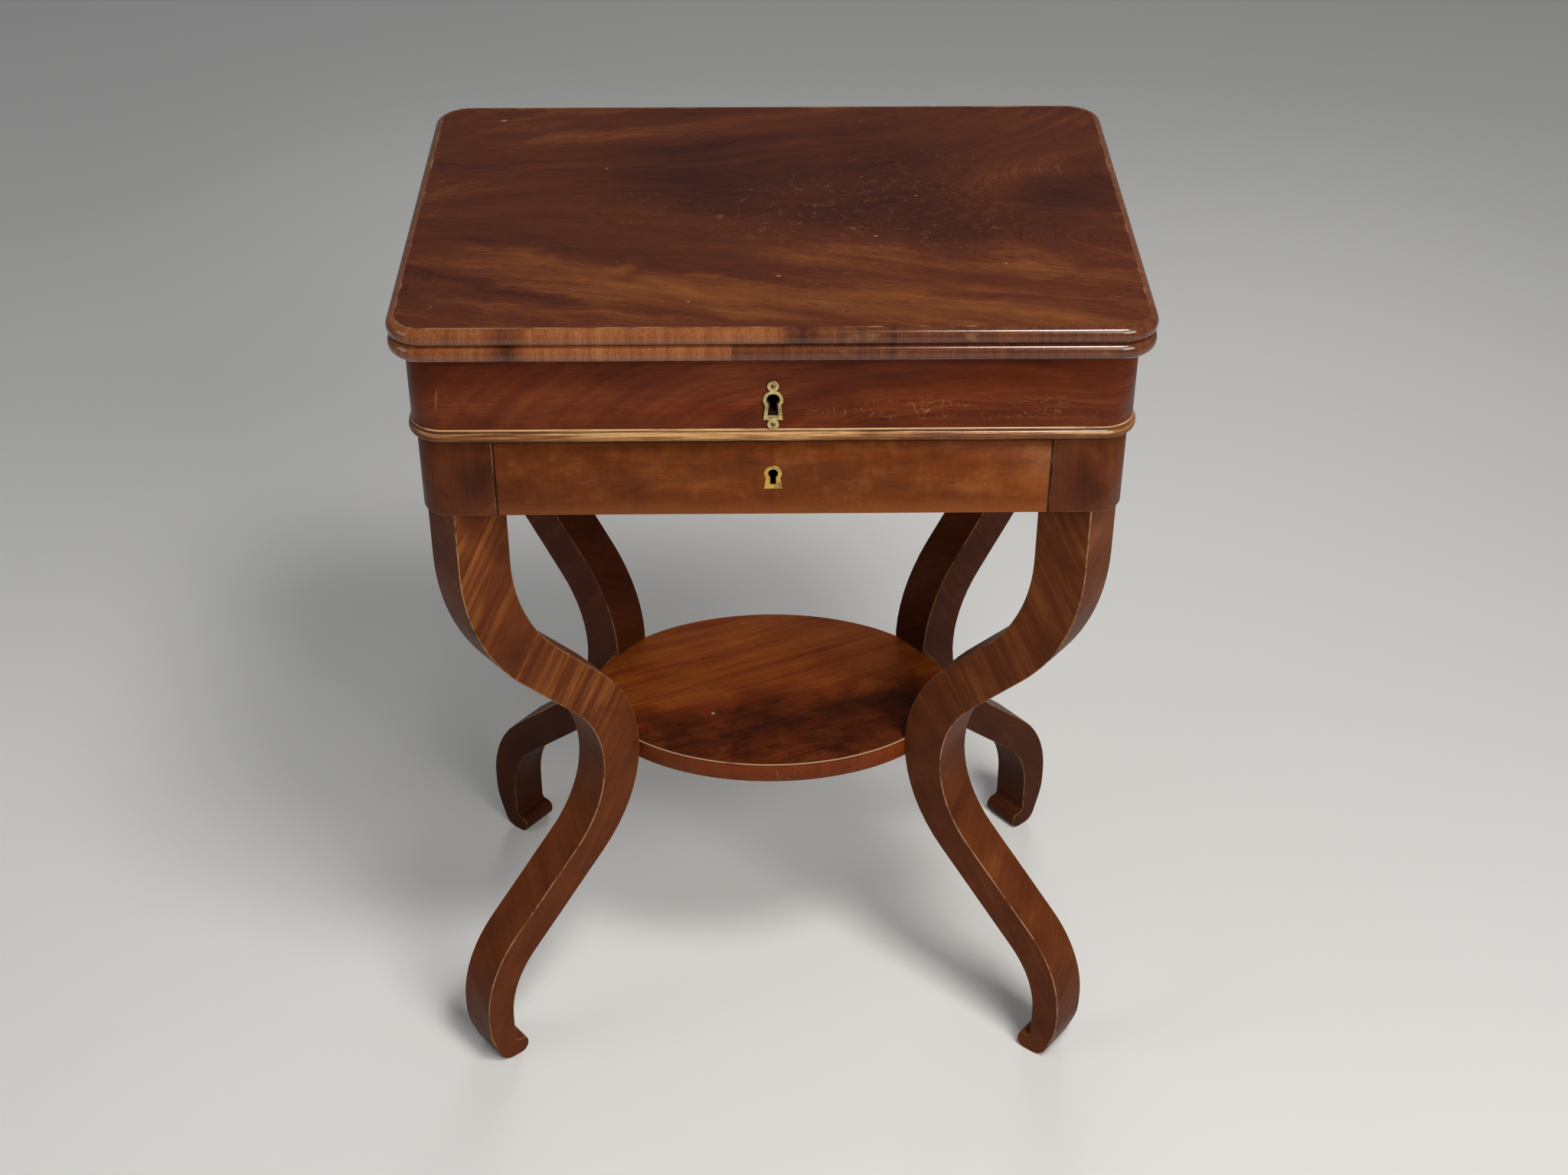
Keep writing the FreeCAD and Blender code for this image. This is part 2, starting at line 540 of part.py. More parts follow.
def bead_moulding():
    """Round bead with a square fillet on it, in four strips between the friezes."""
    def strip_outline(x, y, radius, sign):
        """U of a front or back strip: outside size, and the corner that it goes round."""
        inner_x, inner_y = value(FLOOR_X), value(FLOOR_Y)
        end_y = value(f"{BEAD_Y} - bead_return")
        corners = ((-x, end_y, 0), (-x, y, radius), (x, y, radius), (x, end_y, 0), (inner_x, end_y, 0),
                   (inner_x, inner_y, 0), (-inner_x, inner_y, 0), (-inner_x, end_y, 0))
        return rounded_outline([(px, sign * py, corner) for px, py, corner in corners])

    nose = "(bead_round_height - bead_round_flat) / 2"
    for end, y_sign in ENDS:
        strip = piece(f"bead_{end}")
        sign = -1 if y_sign == "-" else 1
        radius = value("case_corner_radius + bead_projection")
        outline = strip_outline(value(BEAD_X), value(BEAD_Y), radius, sign)
        pad(strip, "XY_Plane", outline, "bead_round_height", BEAD_BOTTOM)
        round_edges(strip, nose, outward_rim("y", value(f"{BEAD_Y} - 0.01")))
        outline = strip_outline(value(FILLET_X), value(FILLET_Y), radius - value("bead_fillet_setback"), sign)
        pad(strip, "XY_Plane", outline, "bead_fillet_height", BEAD_FILLET)
    for side, x_sign in SIDES:
        strip = piece(f"bead_{side}")
        y = both(f"{BEAD_Y} - bead_return")
        block(strip, mirrored(x_sign, FLOOR_X, BEAD_X), y, (BEAD_BOTTOM, BEAD_FILLET))
        round_edges(strip, nose, outward_rim("x", value(f"{BEAD_X} - 0.01")))
        block(strip, mirrored(x_sign, FLOOR_X, FILLET_X), y, (BEAD_FILLET, BEAD_TOP))


def lower_case():
    """Floor of the well, corner blocks, rails and the strips that carry and guide the drawer."""
    frieze_z = (CASE_BOTTOM, BEAD_BOTTOM)
    runner_z = (CASE_BOTTOM, RUNNER_TOP)

    floor = piece("well_floor")
    block(floor, both(FLOOR_X), both(FLOOR_Y), (BEAD_BOTTOM, BEAD_TOP))
    mortise_z = (BEAD_BOTTOM, f"{DRAWER_TOP} - lock_drop + bolt_throw + mortise_play")
    mortise_x = both("bolt_width / 2 + mortise_play")
    block(floor, mortise_x, bolt_span(DRAWER_INSIDE, "mortise_play"), mortise_z, "Subtractive")

    rail_z = (f"{CASE_BOTTOM} + rail_tenon_shoulder", f"{BEAD_BOTTOM} - rail_tenon_shoulder")
    side_tenon_x = centred(f"({CASE_X} - rail_thickness / 2)", "rail_tenon_thickness")
    side_tenon_y = both(f"{BLOCK_Y} + rail_tenon_length")
    back_tenon_x = both(f"{OPENING_X} + rail_tenon_length")
    back_tenon_y = centred(f"({CASE_Y} - rail_thickness / 2)", "rail_tenon_thickness")
    leg_tenon_z = (CASE_BOTTOM, f"{CASE_BOTTOM} + leg_dowel_length")
    for end, y_sign in ENDS:
        for side, x_sign in SIDES:
            corner = piece(f"corner_block_{end}_{side}")
            block(corner, mirrored(x_sign, OPENING_X, CASE_X), mirrored(y_sign, BLOCK_Y, CASE_Y), frieze_z)
            round_edges(corner, "case_corner_radius", upright_corner(x_sign, y_sign))
            centre = (f"{x_sign}{LEG_TOP_X}", f"{y_sign}{LEG_TOP_Y}")
            rod(corner, "z", centre, "leg_dowel_radius", leg_tenon_z, "Subtractive")
            block(corner, mirrored(x_sign, *side_tenon_x), side_tenon_y, rail_z, "Subtractive")
            if end == "back":
                block(corner, back_tenon_x, back_tenon_y, rail_z, "Subtractive")

    for side, x_sign in SIDES:
        rail = piece(f"side_rail_{side}")
        block(rail, mirrored(x_sign, f"{CASE_X} - rail_thickness", CASE_X), both(BLOCK_Y), frieze_z)
        block(rail, mirrored(x_sign, *side_tenon_x), side_tenon_y, rail_z)
        guide_x = mirrored(x_sign, OPENING_X, f"{CASE_X} - rail_thickness")
        guide_z = (CASE_BOTTOM, f"{CASE_BOTTOM} + guide_height")
        block(piece(f"drawer_guide_{side}"), guide_x, both(BLOCK_Y), guide_z)
        runner_x = mirrored(x_sign, RUNNER_X, OPENING_X)
        block(piece(f"drawer_runner_{side}"), runner_x, (RUNNER_FRONT, BACK_INSIDE), runner_z)
    back = piece("back_rail")
    block(back, both(OPENING_X), (BACK_INSIDE, CASE_Y), frieze_z)
    block(back, back_tenon_x, back_tenon_y, rail_z)
    block(piece("front_rail"), both(RUNNER_X), (RUNNER_FRONT, f"{RUNNER_FRONT} + front_rail_depth"), runner_z)
    stop_z = (PANEL_TOP, f"{PANEL_TOP} + stop_height")
    block(piece("drawer_stop"), both("stop_width / 2"), (DRAWER_END, BACK_INSIDE), stop_z)


# Drawer

def drawer():
    """Dovetailed drawer with its bottom let into grooves, and its inlaid escutcheon."""
    panel_z = (PANEL_FOOT, PANEL_TOP)
    groove_y = (PANEL_FRONT, DRAWER_END)
    inside_x = f"({DRAWER_X} - drawer_side_thickness)"
    tail_y = (f"-{CASE_Y} + dovetail_lap", DRAWER_INSIDE)
    back_y = (f"{DRAWER_END} - drawer_side_thickness", DRAWER_END)
    tail_levels = quarter_levels(RUNNER_TOP, SIDE_TOP)
    pin_levels = quarter_levels(PANEL_TOP, SIDE_TOP)

    front = piece("drawer_front")
    block(front, both(DRAWER_X), (f"-{CASE_Y}", DRAWER_INSIDE), (f"{CASE_BOTTOM} + drawer_gap", DRAWER_TOP))
    block(front, both(PANEL_X), (PANEL_FRONT, DRAWER_INSIDE), panel_z, "Subtractive")
    keyhole(front, "drawer_hole", DRAWER_KEYHOLE, (f"-{CASE_Y}", DRAWER_INSIDE))

    back = piece("drawer_back")
    block(back, both(inside_x), back_y, (PANEL_TOP, SIDE_TOP))
    for side, x_sign in SIDES:
        board = piece(f"drawer_side_{side}")
        side_x = mirrored(x_sign, inside_x, DRAWER_X)
        block(board, side_x, (DRAWER_INSIDE, DRAWER_END), (RUNNER_TOP, SIDE_TOP))
        for level in tail_levels:
            tail_end = centred(level, "dovetail_width + 2 * dovetail_flare")
            tail_root = centred(level, "dovetail_width")
            for body, kind in ((board, "Additive"), (front, "Subtractive")):
                wedge(body, side_x, tail_y, tail_end, tail_root, kind)
        for level in pin_levels:
            pin_root = centred(level, "back_pin_width + 2 * back_pin_flare")
            pin_end = centred(level, "back_pin_width")
            for body, kind in ((back, "Additive"), (board, "Subtractive")):
                wedge(body, side_x, back_y, pin_root, pin_end, kind)
        block(board, mirrored(x_sign, inside_x, PANEL_X), groove_y, panel_z, "Subtractive")
    block(piece("drawer_bottom"), both(PANEL_X), groove_y, panel_z)

    inlay = piece("drawer_escutcheon")
    inlay_y = (f"-{CASE_Y}", f"-{CASE_Y} + inlay_thickness")
    for body, kind in ((inlay, "Additive"), (front, "Subtractive")):
        rod(body, "y", ("0", DRAWER_KEYHOLE), "inlay_radius", inlay_y, kind)
        foot_z = (f"{DRAWER_KEYHOLE} - inlay_foot_drop", DRAWER_KEYHOLE)
        flare(body, inlay_y, foot_z, "inlay_foot_width", "inlay_neck_width", kind)
    keyhole(inlay, "drawer_hole", DRAWER_KEYHOLE, inlay_y)


# Locks and upper escutcheon

def bolt_span(face, play):
    """Span along y of a bolt in a lock case that is screwed to a face, with some play."""
    middle = f"({face} + lock_depth / 2)"
    return (f"{middle} - bolt_thickness / 2 - {play}", f"{middle} + bolt_thickness / 2 + {play}")


def lock(name, face, edge):
    """Lock case on the inside of a front, and its bolt, drawn back."""
    top = f"({edge} - lock_drop)"
    bolt_z = (f"{top} - bolt_length", top)
    case = piece(f"{name}_lock_case")
    block(case, both("lock_width / 2"), (face, f"{face} + lock_depth"), (f"{top} - lock_height", top))
    block(case, both("bolt_width / 2 + bolt_play"), bolt_span(face, "bolt_play"), bolt_z, "Subtractive")
    block(piece(f"{name}_lock_bolt"), both("bolt_width / 2"), bolt_span(face, "0"), bolt_z)


def escutcheon_pin_levels():
    """Heights of the two pins of the upper escutcheon."""
    return (f"{UPPER_KEYHOLE} + plate_top_lug_rise", f"{UPPER_KEYHOLE} - plate_foot_lug_drop")


def upper_escutcheon():
    """Surface plate round the upper keyhole: ring, flared foot and two pinned lugs."""
    plate = piece("upper_escutcheon")
    face = f"-{UPPER_Y}"
    plate_y = (f"{face} - plate_thickness", face)
    foot_z = (f"{UPPER_KEYHOLE} - plate_foot_drop", UPPER_KEYHOLE)
    flare(plate, plate_y, foot_z, "plate_foot_width", "plate_neck_width")
    rod(plate, "y", ("0", UPPER_KEYHOLE), "plate_ring_radius", plate_y)
    for pin_level in escutcheon_pin_levels():
        rod(plate, "y", ("0", pin_level), "plate_lug_radius", plate_y)
    stem_z = tuple(reversed(escutcheon_pin_levels()))
    block(plate, both("plate_stem_width / 2"), plate_y, stem_z)
    rod(plate, "y", ("0", UPPER_KEYHOLE), "plate_hole_radius", plate_y, "Subtractive")
    slot_z = (f"{UPPER_KEYHOLE} - plate_slot_drop", UPPER_KEYHOLE)
    flare(plate, plate_y, slot_z, "plate_slot_foot", "plate_slot_neck", "Subtractive")
    for place, pin_level in zip(("top", "foot"), escutcheon_pin_levels()):
        rod(plate, "y", ("0", pin_level), "pin_shank_radius", plate_y, "Subtractive")
        pin = piece(f"escutcheon_pin_{place}")
        head_y = (f"{plate_y[0]} - pin_head_height", plate_y[0])
        rod(pin, "y", ("0", pin_level), "pin_head_radius", head_y)
        rod(pin, "y", ("0", pin_level), "pin_shank_radius", (plate_y[0], f"{plate_y[0]} + pin_shank_length"))


# Legs and shelf

def crossing(point, along, other_point, other_along):
    """Point where two lines of the leg's plane cross."""
    gap = other_point - point
    scale = (gap.x * other_along.y - gap.y * other_along.x) / (along.x * other_along.y - along.y * other_along.x)
    return point + along * scale


def leg_outline():
    """Outline of a leg in its own plane: x is the reach from the leg's axis and y the height.

    The centre line is straight runs with rounded turns; each run has a width, and the edges are its offsets.
    """
    top = value(CASE_BOTTOM)
    shoulder = FreeCAD.Vector(value(LEG_TOP_REACH), top - value("leg_shoulder_drop"), 0)
    waist = FreeCAD.Vector(value("leg_waist_reach"), value("leg_waist_height"), 0)
    ankle = FreeCAD.Vector(value("leg_foot_reach"), value("leg_ankle_height"), 0)
    stations = [FreeCAD.Vector(shoulder.x, top, 0), shoulder, waist, ankle, FreeCAD.Vector(ankle.x, 0, 0)]
    widths = [value(f"leg_{run}_width") for run in ("top", "knee", "calf", "ankle")]
    radii = [value(f"leg_{turn}_radius") for turn in ("shoulder", "waist", "ankle")]
    bends = [1, -1, 1]

    def edge_corners(side):
        """Turns of the outer edge (side 1) or the inner edge (side -1), from the top down."""
        lines = []
        for start, end, width in zip(stations, stations[1:], widths):
            along = (end - start).normalize()
            outward = FreeCAD.Vector(-along.y, along.x, 0)
            lines.append((start + outward * (side * width / 2), along))
        corners = []
        for first, second, radius, bend, width in zip(lines, lines[1:], radii, bends, widths[1:]):
            turn = crossing(*first, *second)
            corners.append((turn.x, turn.y, radius + side * bend * width / 2))
        return lines[0][0], corners, lines[-1][0].x

    top_outer, outer, heel = edge_corners(1)
    top_inner, inner, instep = edge_corners(-1)
    tip = instep - value("toe_length")
    toe_top = value("toe_height")
    foot = [(heel, value("heel_turn_height"), value("heel_turn_radius")),
            (heel - value("heel_set"), 0, value("heel_radius")), (tip, 0, value("toe_sole_radius")),
            (tip, toe_top, value("toe_tip_radius")), (instep, toe_top, value("toe_notch_radius"))]
    corners = [(top_outer.x, top, 0), *outer, *foot, *reversed(inner), (top_inner.x, top, 0)]
    return rounded_outline(corners)


def set_on_diagonal(body, end, side, sign):
    """Turn a body drawn in a leg's plane to its place under one corner of the case."""
    turn = FreeCAD.Rotation(FreeCAD.Vector(0, 0, 1), value(LEG_TURNS[end, side]))
    body.Placement = FreeCAD.Placement(FreeCAD.Vector(), turn)
    body.setExpression("Placement.Base.x", bound(f"{sign}{LEG_AXIS_X}"))


def legs_and_shelf():
    """Four legs, the oval shelf between their waists and the dowels that hold it."""
    outline = leg_outline()
    waist_face = Part.Wire([curve.toShape() for curve in outline]).BoundBox.XMin
    dowel_x = (f"{waist_face} - shelf_dowel_length / 2", f"{waist_face} + shelf_dowel_length / 2")
    dowel_centre = ("0", "shelf_height - shelf_thickness / 2")
    tenon_z = (CASE_BOTTOM, f"{CASE_BOTTOM} + leg_dowel_length")
    seats = []
    for end, y_sign in ENDS:
        for side, x_sign in SIDES:
            leg = piece(f"leg_{end}_{side}")
            pad(leg, "XZ_Plane", outline, "leg_thickness", symmetric=True)
            rod(leg, "z", (LEG_TOP_REACH, "0"), "leg_dowel_radius", tenon_z)
            rod(leg, "x", dowel_centre, "shelf_dowel_radius", dowel_x, "Subtractive")
            dowel = piece(f"shelf_dowel_{end}_{side}")
            rod(dowel, "x", dowel_centre, "shelf_dowel_radius", dowel_x)
            for body in (leg, dowel):
                set_on_diagonal(body, end, side, x_sign)
                seats.append(body)

    board = DOC.addObject("PartDesign::Body", "shelf_board")
    oval = [Part.Ellipse(FreeCAD.Vector(), value("shelf_length / 2"), value("shelf_depth / 2"))]
    pad(board, "XY_Plane", oval, "shelf_thickness", "shelf_height - shelf_thickness")
    round_edges(board, "shelf_edge_radius", lambda edge, box: box.ZMax - edge.BoundBox.ZMin < 0.001)
    seat = DOC.addObject("Part::MultiFuse", "shelf_seats")
    seat.Shapes = seats
    shelf = DOC.addObject("Part::Cut", "oval_shelf")
    shelf.Label = "oval_shelf"
    shelf.Base = board
    shelf.Tool = seat
    PIECES.append(shelf)


def export_pieces():
    """Check every object of the document, then write one file for each sub-part."""
    DOC.recompute()
    failed = [item.Label for item in DOC.Objects if {"Invalid", "Error"} & set(item.State)]
    if failed:
        raise RuntimeError(f"objects that failed: {failed}")
    for item in PIECES:
        if item.Shape.isNull() or not item.Shape.isValid() or len(item.Shape.Solids) != 1:
            raise RuntimeError(f"{item.Label} isn't one valid solid")
    os.makedirs("parts", exist_ok=True)
    for item in PIECES:
        item.Shape.exportStep(f"parts/{item.Label}.step")
    print(len(PIECES), "sub-parts written")


fold_over_top()
swivel_pivot()
upper_frieze()
bead_moulding()
lower_case()
drawer()
lock("top", f"(-{WELL_Y})", CASE_TOP)
lock("drawer", DRAWER_INSIDE, DRAWER_TOP)
upper_escutcheon()
legs_and_shelf()
export_pieces()
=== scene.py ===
"""Looks of the writing table: meshes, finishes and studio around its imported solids.

Everything is in metres, +Z up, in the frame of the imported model. Colours are linear.
"""
import logging
import math
from collections.abc import Sequence
from dataclasses import dataclass
from enum import Enum
from typing import ClassVar

import bmesh
import bpy
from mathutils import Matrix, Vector


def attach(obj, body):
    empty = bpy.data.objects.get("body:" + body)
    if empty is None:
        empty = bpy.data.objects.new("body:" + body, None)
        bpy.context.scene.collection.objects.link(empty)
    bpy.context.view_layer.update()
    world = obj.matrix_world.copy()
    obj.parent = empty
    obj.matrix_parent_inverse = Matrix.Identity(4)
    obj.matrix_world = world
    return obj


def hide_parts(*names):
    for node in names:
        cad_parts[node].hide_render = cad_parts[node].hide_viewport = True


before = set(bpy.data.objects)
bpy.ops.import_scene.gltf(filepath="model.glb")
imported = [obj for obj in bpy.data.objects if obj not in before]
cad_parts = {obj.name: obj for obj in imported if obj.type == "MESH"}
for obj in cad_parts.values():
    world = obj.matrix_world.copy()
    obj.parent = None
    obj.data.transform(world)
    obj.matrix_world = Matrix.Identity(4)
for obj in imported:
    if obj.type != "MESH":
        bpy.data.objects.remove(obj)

LOG = logging.getLogger("writing_table")

Colour = tuple[float, float, float]
Point = tuple[float, float, float]
Flat = tuple[float, float]

ORIGIN = (0.0, 0.0, 0.0)
UP = (0.0, 0.0, 1.0)
DOWN = (0.0, 0.0, -1.0)
FORWARD = (0.0, -1.0, 0.0)
BACKWARD = (0.0, 1.0, 0.0)

LEAF_JOINT = 0.727
BEAD_FOOT = 0.641

GRAIN_MAP = "grain"
ARRIS = "arris"
STRIPES = "stripes"
FACING = "facing"

MERGE_DISTANCE = 1e-6
FLAT_ANGLE = math.radians(0.3)
ARRIS_ANGLE = math.radians(35)
ARRIS_SEGMENTS = 2
BEAD_SHARP_ANGLE = math.radians(40)
LEG_SHARP_ANGLE = math.radians(60)


# Node boards

class Wire:
    """One output of a node; arithmetic on it adds Math nodes to the same board."""

    def __init__(self, board: "Board", socket: bpy.types.NodeSocket | None) -> None:
        """Keep the socket and the board that it is on."""
        self.board = board
        self.socket = socket

    def output(self, name: str) -> "Wire":
        """Another output of the same node."""
        return Wire(self.board, self.socket.node.outputs[name])

    def math(self, operation: str, *others: "Wire | float") -> "Wire":
        """Math node whose first value is this one."""
        return self.board.math(operation, self, *others)

    def __add__(self, other: "Wire | float") -> "Wire":
        """Sum."""
        return self.math("ADD", other)

    def __radd__(self, other: float) -> "Wire":
        """Sum with a number before it."""
        return self.board.math("ADD", other, self)

    def __sub__(self, other: "Wire | float") -> "Wire":
        """Difference."""
        return self.math("SUBTRACT", other)

    def __rsub__(self, other: float) -> "Wire":
        """Difference from a number."""
        return self.board.math("SUBTRACT", other, self)

    def __mul__(self, other: "Wire | float") -> "Wire":
        """Product."""
        return self.math("MULTIPLY", other)

    def __rmul__(self, other: float) -> "Wire":
        """Product with a number before it."""
        return self.board.math("MULTIPLY", other, self)

    def __truediv__(self, other: "Wire | float") -> "Wire":
        """Quotient."""
        return self.math("DIVIDE", other)

    def __abs__(self) -> "Wire":
        """Size without its sign."""
        return self.math("ABSOLUTE")

    def __gt__(self, other: "Wire | float") -> "Wire":
        """One where it is more, else nought."""
        return self.math("GREATER_THAN", other)

    def __lt__(self, other: "Wire | float") -> "Wire":
        """One where it is less, else nought."""
        return self.math("LESS_THAN", other)

    def most(self, other: "Wire | float") -> "Wire":
        """The larger of two values."""
        return self.math("MAXIMUM", other)

    def least(self, other: "Wire | float") -> "Wire":
        """The smaller of two values."""
        return self.math("MINIMUM", other)


class Board:
    """Node tree with one method that adds any node."""

    def __init__(self, tree: bpy.types.NodeTree) -> None:
        """Work on a tree."""
        self.tree = tree

    def node(self, kind: str, settings: dict | None = None, sockets: dict | None = None,
             out: str | int = 0) -> Wire:
        """Add a node, set it up and join its sockets.

        Args:
            kind: Blender's name for the type of node.
            settings: Properties of the node; "stops" holds the (place, colour) pairs of a ramp.
            sockets: Numbers, colours, data or wires for inputs, by name or number.
            out: Output that the wire stands for.

        Returns:
            The chosen output; a node that ends a tree has none.
        """
        made = self.tree.nodes.new(kind)
        for key, value in (settings or {}).items():
            if key == "stops":
                self._set_stops(made.color_ramp, value)
            else:
                setattr(made, key, value)
        for key, value in (sockets or {}).items():
            socket = made.inputs[key]
            if isinstance(value, Wire):
                self.tree.links.new(value.socket, socket)
            elif socket.type == "RGBA":
                socket.default_value = (*value, 1.0)
            else:
                socket.default_value = value
        return Wire(self, made.outputs[out] if made.outputs else None)

    def math(self, operation: str, *values: Wire | float) -> Wire:
        """Math node on one or more values."""
        return self.node("ShaderNodeMath", {"operation": operation}, dict(enumerate(values)))

    @staticmethod
    def _set_stops(ramp: bpy.types.ColorRamp, stops: Sequence[tuple[float, Colour]]) -> None:
        """Set the stops of a colour ramp.

        Args:
            ramp: Ramp of a new node, which has two stops.
            stops: Place and colour of each stop, from left to right.
        """
        while len(ramp.elements) < len(stops):
            ramp.elements.new(1.0)
        for element, (place, colour) in zip(ramp.elements, stops):
            element.position = place
            element.color = (*colour, 1.0)


class FinishBoard(Board):
    """Board of one material, with the steps that finishes share."""

    def __init__(self, name: str) -> None:
        """Start an empty material."""
        self.material = bpy.data.materials.new(name)
        self.material.use_nodes = True
        super().__init__(self.material.node_tree)
        self.tree.nodes.clear()

    def place(self) -> Wire:
        """Place on the table, in metres."""
        return self.node("ShaderNodeTexCoord", out="Object")

    def piece_map(self) -> Wire:
        """The piece's own map: metres along its run and across it."""
        return self.node("ShaderNodeUVMap", {"uv_map": GRAIN_MAP})

    def mark(self, name: str) -> Wire:
        """Number that the mesh carries under a name."""
        return self.node("ShaderNodeAttribute", {"attribute_name": name}, out="Fac")

    def axes(self, vector: Wire) -> tuple[Wire, Wire, Wire]:
        """The three parts of a vector."""
        split = self.node("ShaderNodeSeparateXYZ", None, {0: vector})
        return split, split.output("Y"), split.output("Z")

    def vector(self, x: Wire | float, y: Wire | float, z: Wire | float = 0.0) -> Wire:
        """Vector of three values."""
        return self.node("ShaderNodeCombineXYZ", None, {0: x, 1: y, 2: z})

    def stretched(self, vector: Wire, size: Point | float, turn: float = 0.0, shift: Point = ORIGIN) -> Wire:
        """Place measured in units of a size, on axes turned about Z.

        Args:
            vector: Place in metres.
            size: Length of one unit, along each turned axis or along all of them.
            turn: Turn of the axes in degrees.
            shift: Origin of the turned axes.

        Returns:
            The new place.
        """
        scale = size if isinstance(size, tuple) else (size, size, size)
        angles = (0.0, 0.0, math.radians(turn))
        sockets = {"Vector": vector, "Location": shift, "Rotation": angles, "Scale": scale}
        return self.node("ShaderNodeMapping", {"vector_type": "TEXTURE"}, sockets)

    def noise(self, vector: Wire, size: Point | float, detail: float = 2.0, distortion: float = 0.0,
              turn: float = 0.0, shift: Point = ORIGIN) -> Wire:
        """Noise on stretched axes.

        Args:
            vector: Place in metres.
            size: Size of its features, along each axis or along all of them.
            detail: Number of finer layers.
            distortion: How much it is curled.
            turn: Turn of the axes in degrees.
            shift: Origin of the axes.

        Returns:
            Value from 0 to 1.
        """
        place = self.stretched(vector, size, turn, shift)
        sockets = {"Vector": place, "Scale": 1.0, "Detail": detail, "Distortion": distortion}
        return self.node("ShaderNodeTexNoise", None, sockets)

    def swing(self, vector: Wire, size: Point | float, detail: float = 2.0, distortion: float = 0.0,
              shift: Point = ORIGIN) -> Wire:
        """Noise about nought.

        Args:
            vector: Place in metres.
            size: Size of its features, along each axis or along all of them.
            detail: Number of finer layers.
            distortion: How much it is curled.
            shift: Origin of the axes.

        Returns:
            Value that mostly lies between -0.25 and 0.25.
        """
        return self.noise(vector, size, detail, distortion, 0.0, shift) - 0.5

    def cells(self, vector: Wire, size: Point | float) -> Wire:
        """Distance from the middle of a random cell, in units of the cells' size."""
        sockets = {"Vector": self.stretched(vector, size), "Scale": 1.0}
        return self.node("ShaderNodeTexVoronoi", {"feature": "F1"}, sockets, "Distance")

    def specks(self, vector: Wire, size: Point | float, radius: float, share: float) -> Wire:
        """Round specks, at most one in each cell.

        Args:
            vector: Place in metres.
            size: Size of the cells.
            radius: Radius of a speck in units of the cells.
            share: Share of the cells that have one.

        Returns:
            One inside a speck and nought outside.
        """
        cell = self.cells(vector, size)
        chance = self.axes(cell.output("Color"))[0]
        return (cell < radius) * (chance < share)

    def patch(self, flat: Wire, middle: Flat, reach: Flat, turn: float = 0.0) -> Wire:
        """Soft oval patch in a plane.

        Args:
            flat: Place in the plane, with nought as its third part.
            middle: Middle of the patch.
            reach: Half of its length and of its width.
            turn: Turn of its length in degrees.

        Returns:
            One in the middle, falling to nought at the rim.
        """
        inside = self.stretched(flat, (*reach, 1.0), turn, (*middle, 0.0))
        gap = self.node("ShaderNodeVectorMath", {"operation": "LENGTH"}, {0: inside}, "Value")
        return self.span(gap, 1.0, 0.0)

    def hairlines(self, vector: Wire, size: Point, width: float, turn: float = 0.0,
                  shift: Point = ORIGIN) -> Wire:
        """Thin wandering lines, where a noise crosses its middle.

        Args:
            vector: Place in metres.
            size: Size of their bends along each axis.
            width: Half of their width, as a step of the noise.
            turn: Turn of the axes in degrees.
            shift: Origin of the axes.

        Returns:
            One in the middle of a line and nought beside it.
        """
        wander = self.noise(vector, size, 1.0, 0.4, turn, shift) - 0.5
        return self.span(abs(wander), width, 0.0)

    def span(self, value: Wire, low: float, high: float) -> Wire:
        """Smooth step from 0 at low to 1 at high."""
        sockets = {"Value": value, "From Min": low, "From Max": high}
        return self.node("ShaderNodeMapRange", {"interpolation_type": "SMOOTHSTEP"}, sockets)

    def within(self, value: Wire, limit: float, blur: float) -> Wire:
        """One below a limit and nought above it, with a blurred edge."""
        return self.span(value, limit + blur, limit - blur)

    def past(self, value: Wire, limit: float, blur: float) -> Wire:
        """One above a limit and nought below it, with a blurred edge."""
        return self.span(value, limit - blur, limit + blur)

    def rubbed_arris(self, place: Wire, low: float, high: float) -> Wire:
        """Bare wood on the marked arrises, where a cloud rises from low to high."""
        return self.mark(ARRIS) * self.span(self.noise(place, 0.02, 3.0), low, high)

    def ramp(self, value: Wire, *stops: tuple[float, Colour]) -> Wire:
        """Colour by value."""
        return self.node("ShaderNodeValToRGB", {"stops": stops}, {0: value})

    def mix(self, share: Wire | float, first: Wire | Colour, second: Wire | Colour) -> Wire:
        """Colour between two.

        Args:
            share: How much of the second there is.
            first: Colour where the share is nought.
            second: Colour where the share is one.

        Returns:
            The mixed colour.
        """
        return self.node("ShaderNodeMix", {"data_type": "RGBA"}, {0: share, 6: first, 7: second}, 2)

    def bump(self, height: Wire, distance: float) -> Wire:
        """Normal that follows a height from 0 to 1, which stands for a distance in metres."""
        return self.node("ShaderNodeBump", None, {"Height": height, "Distance": distance, "Strength": 1.0})

    def surface(self, sockets: dict) -> None:
        """End the material in one shader."""
        shader = self.node("ShaderNodeBsdfPrincipled", None, sockets)
        self.node("ShaderNodeOutputMaterial", None, {"Surface": shader})


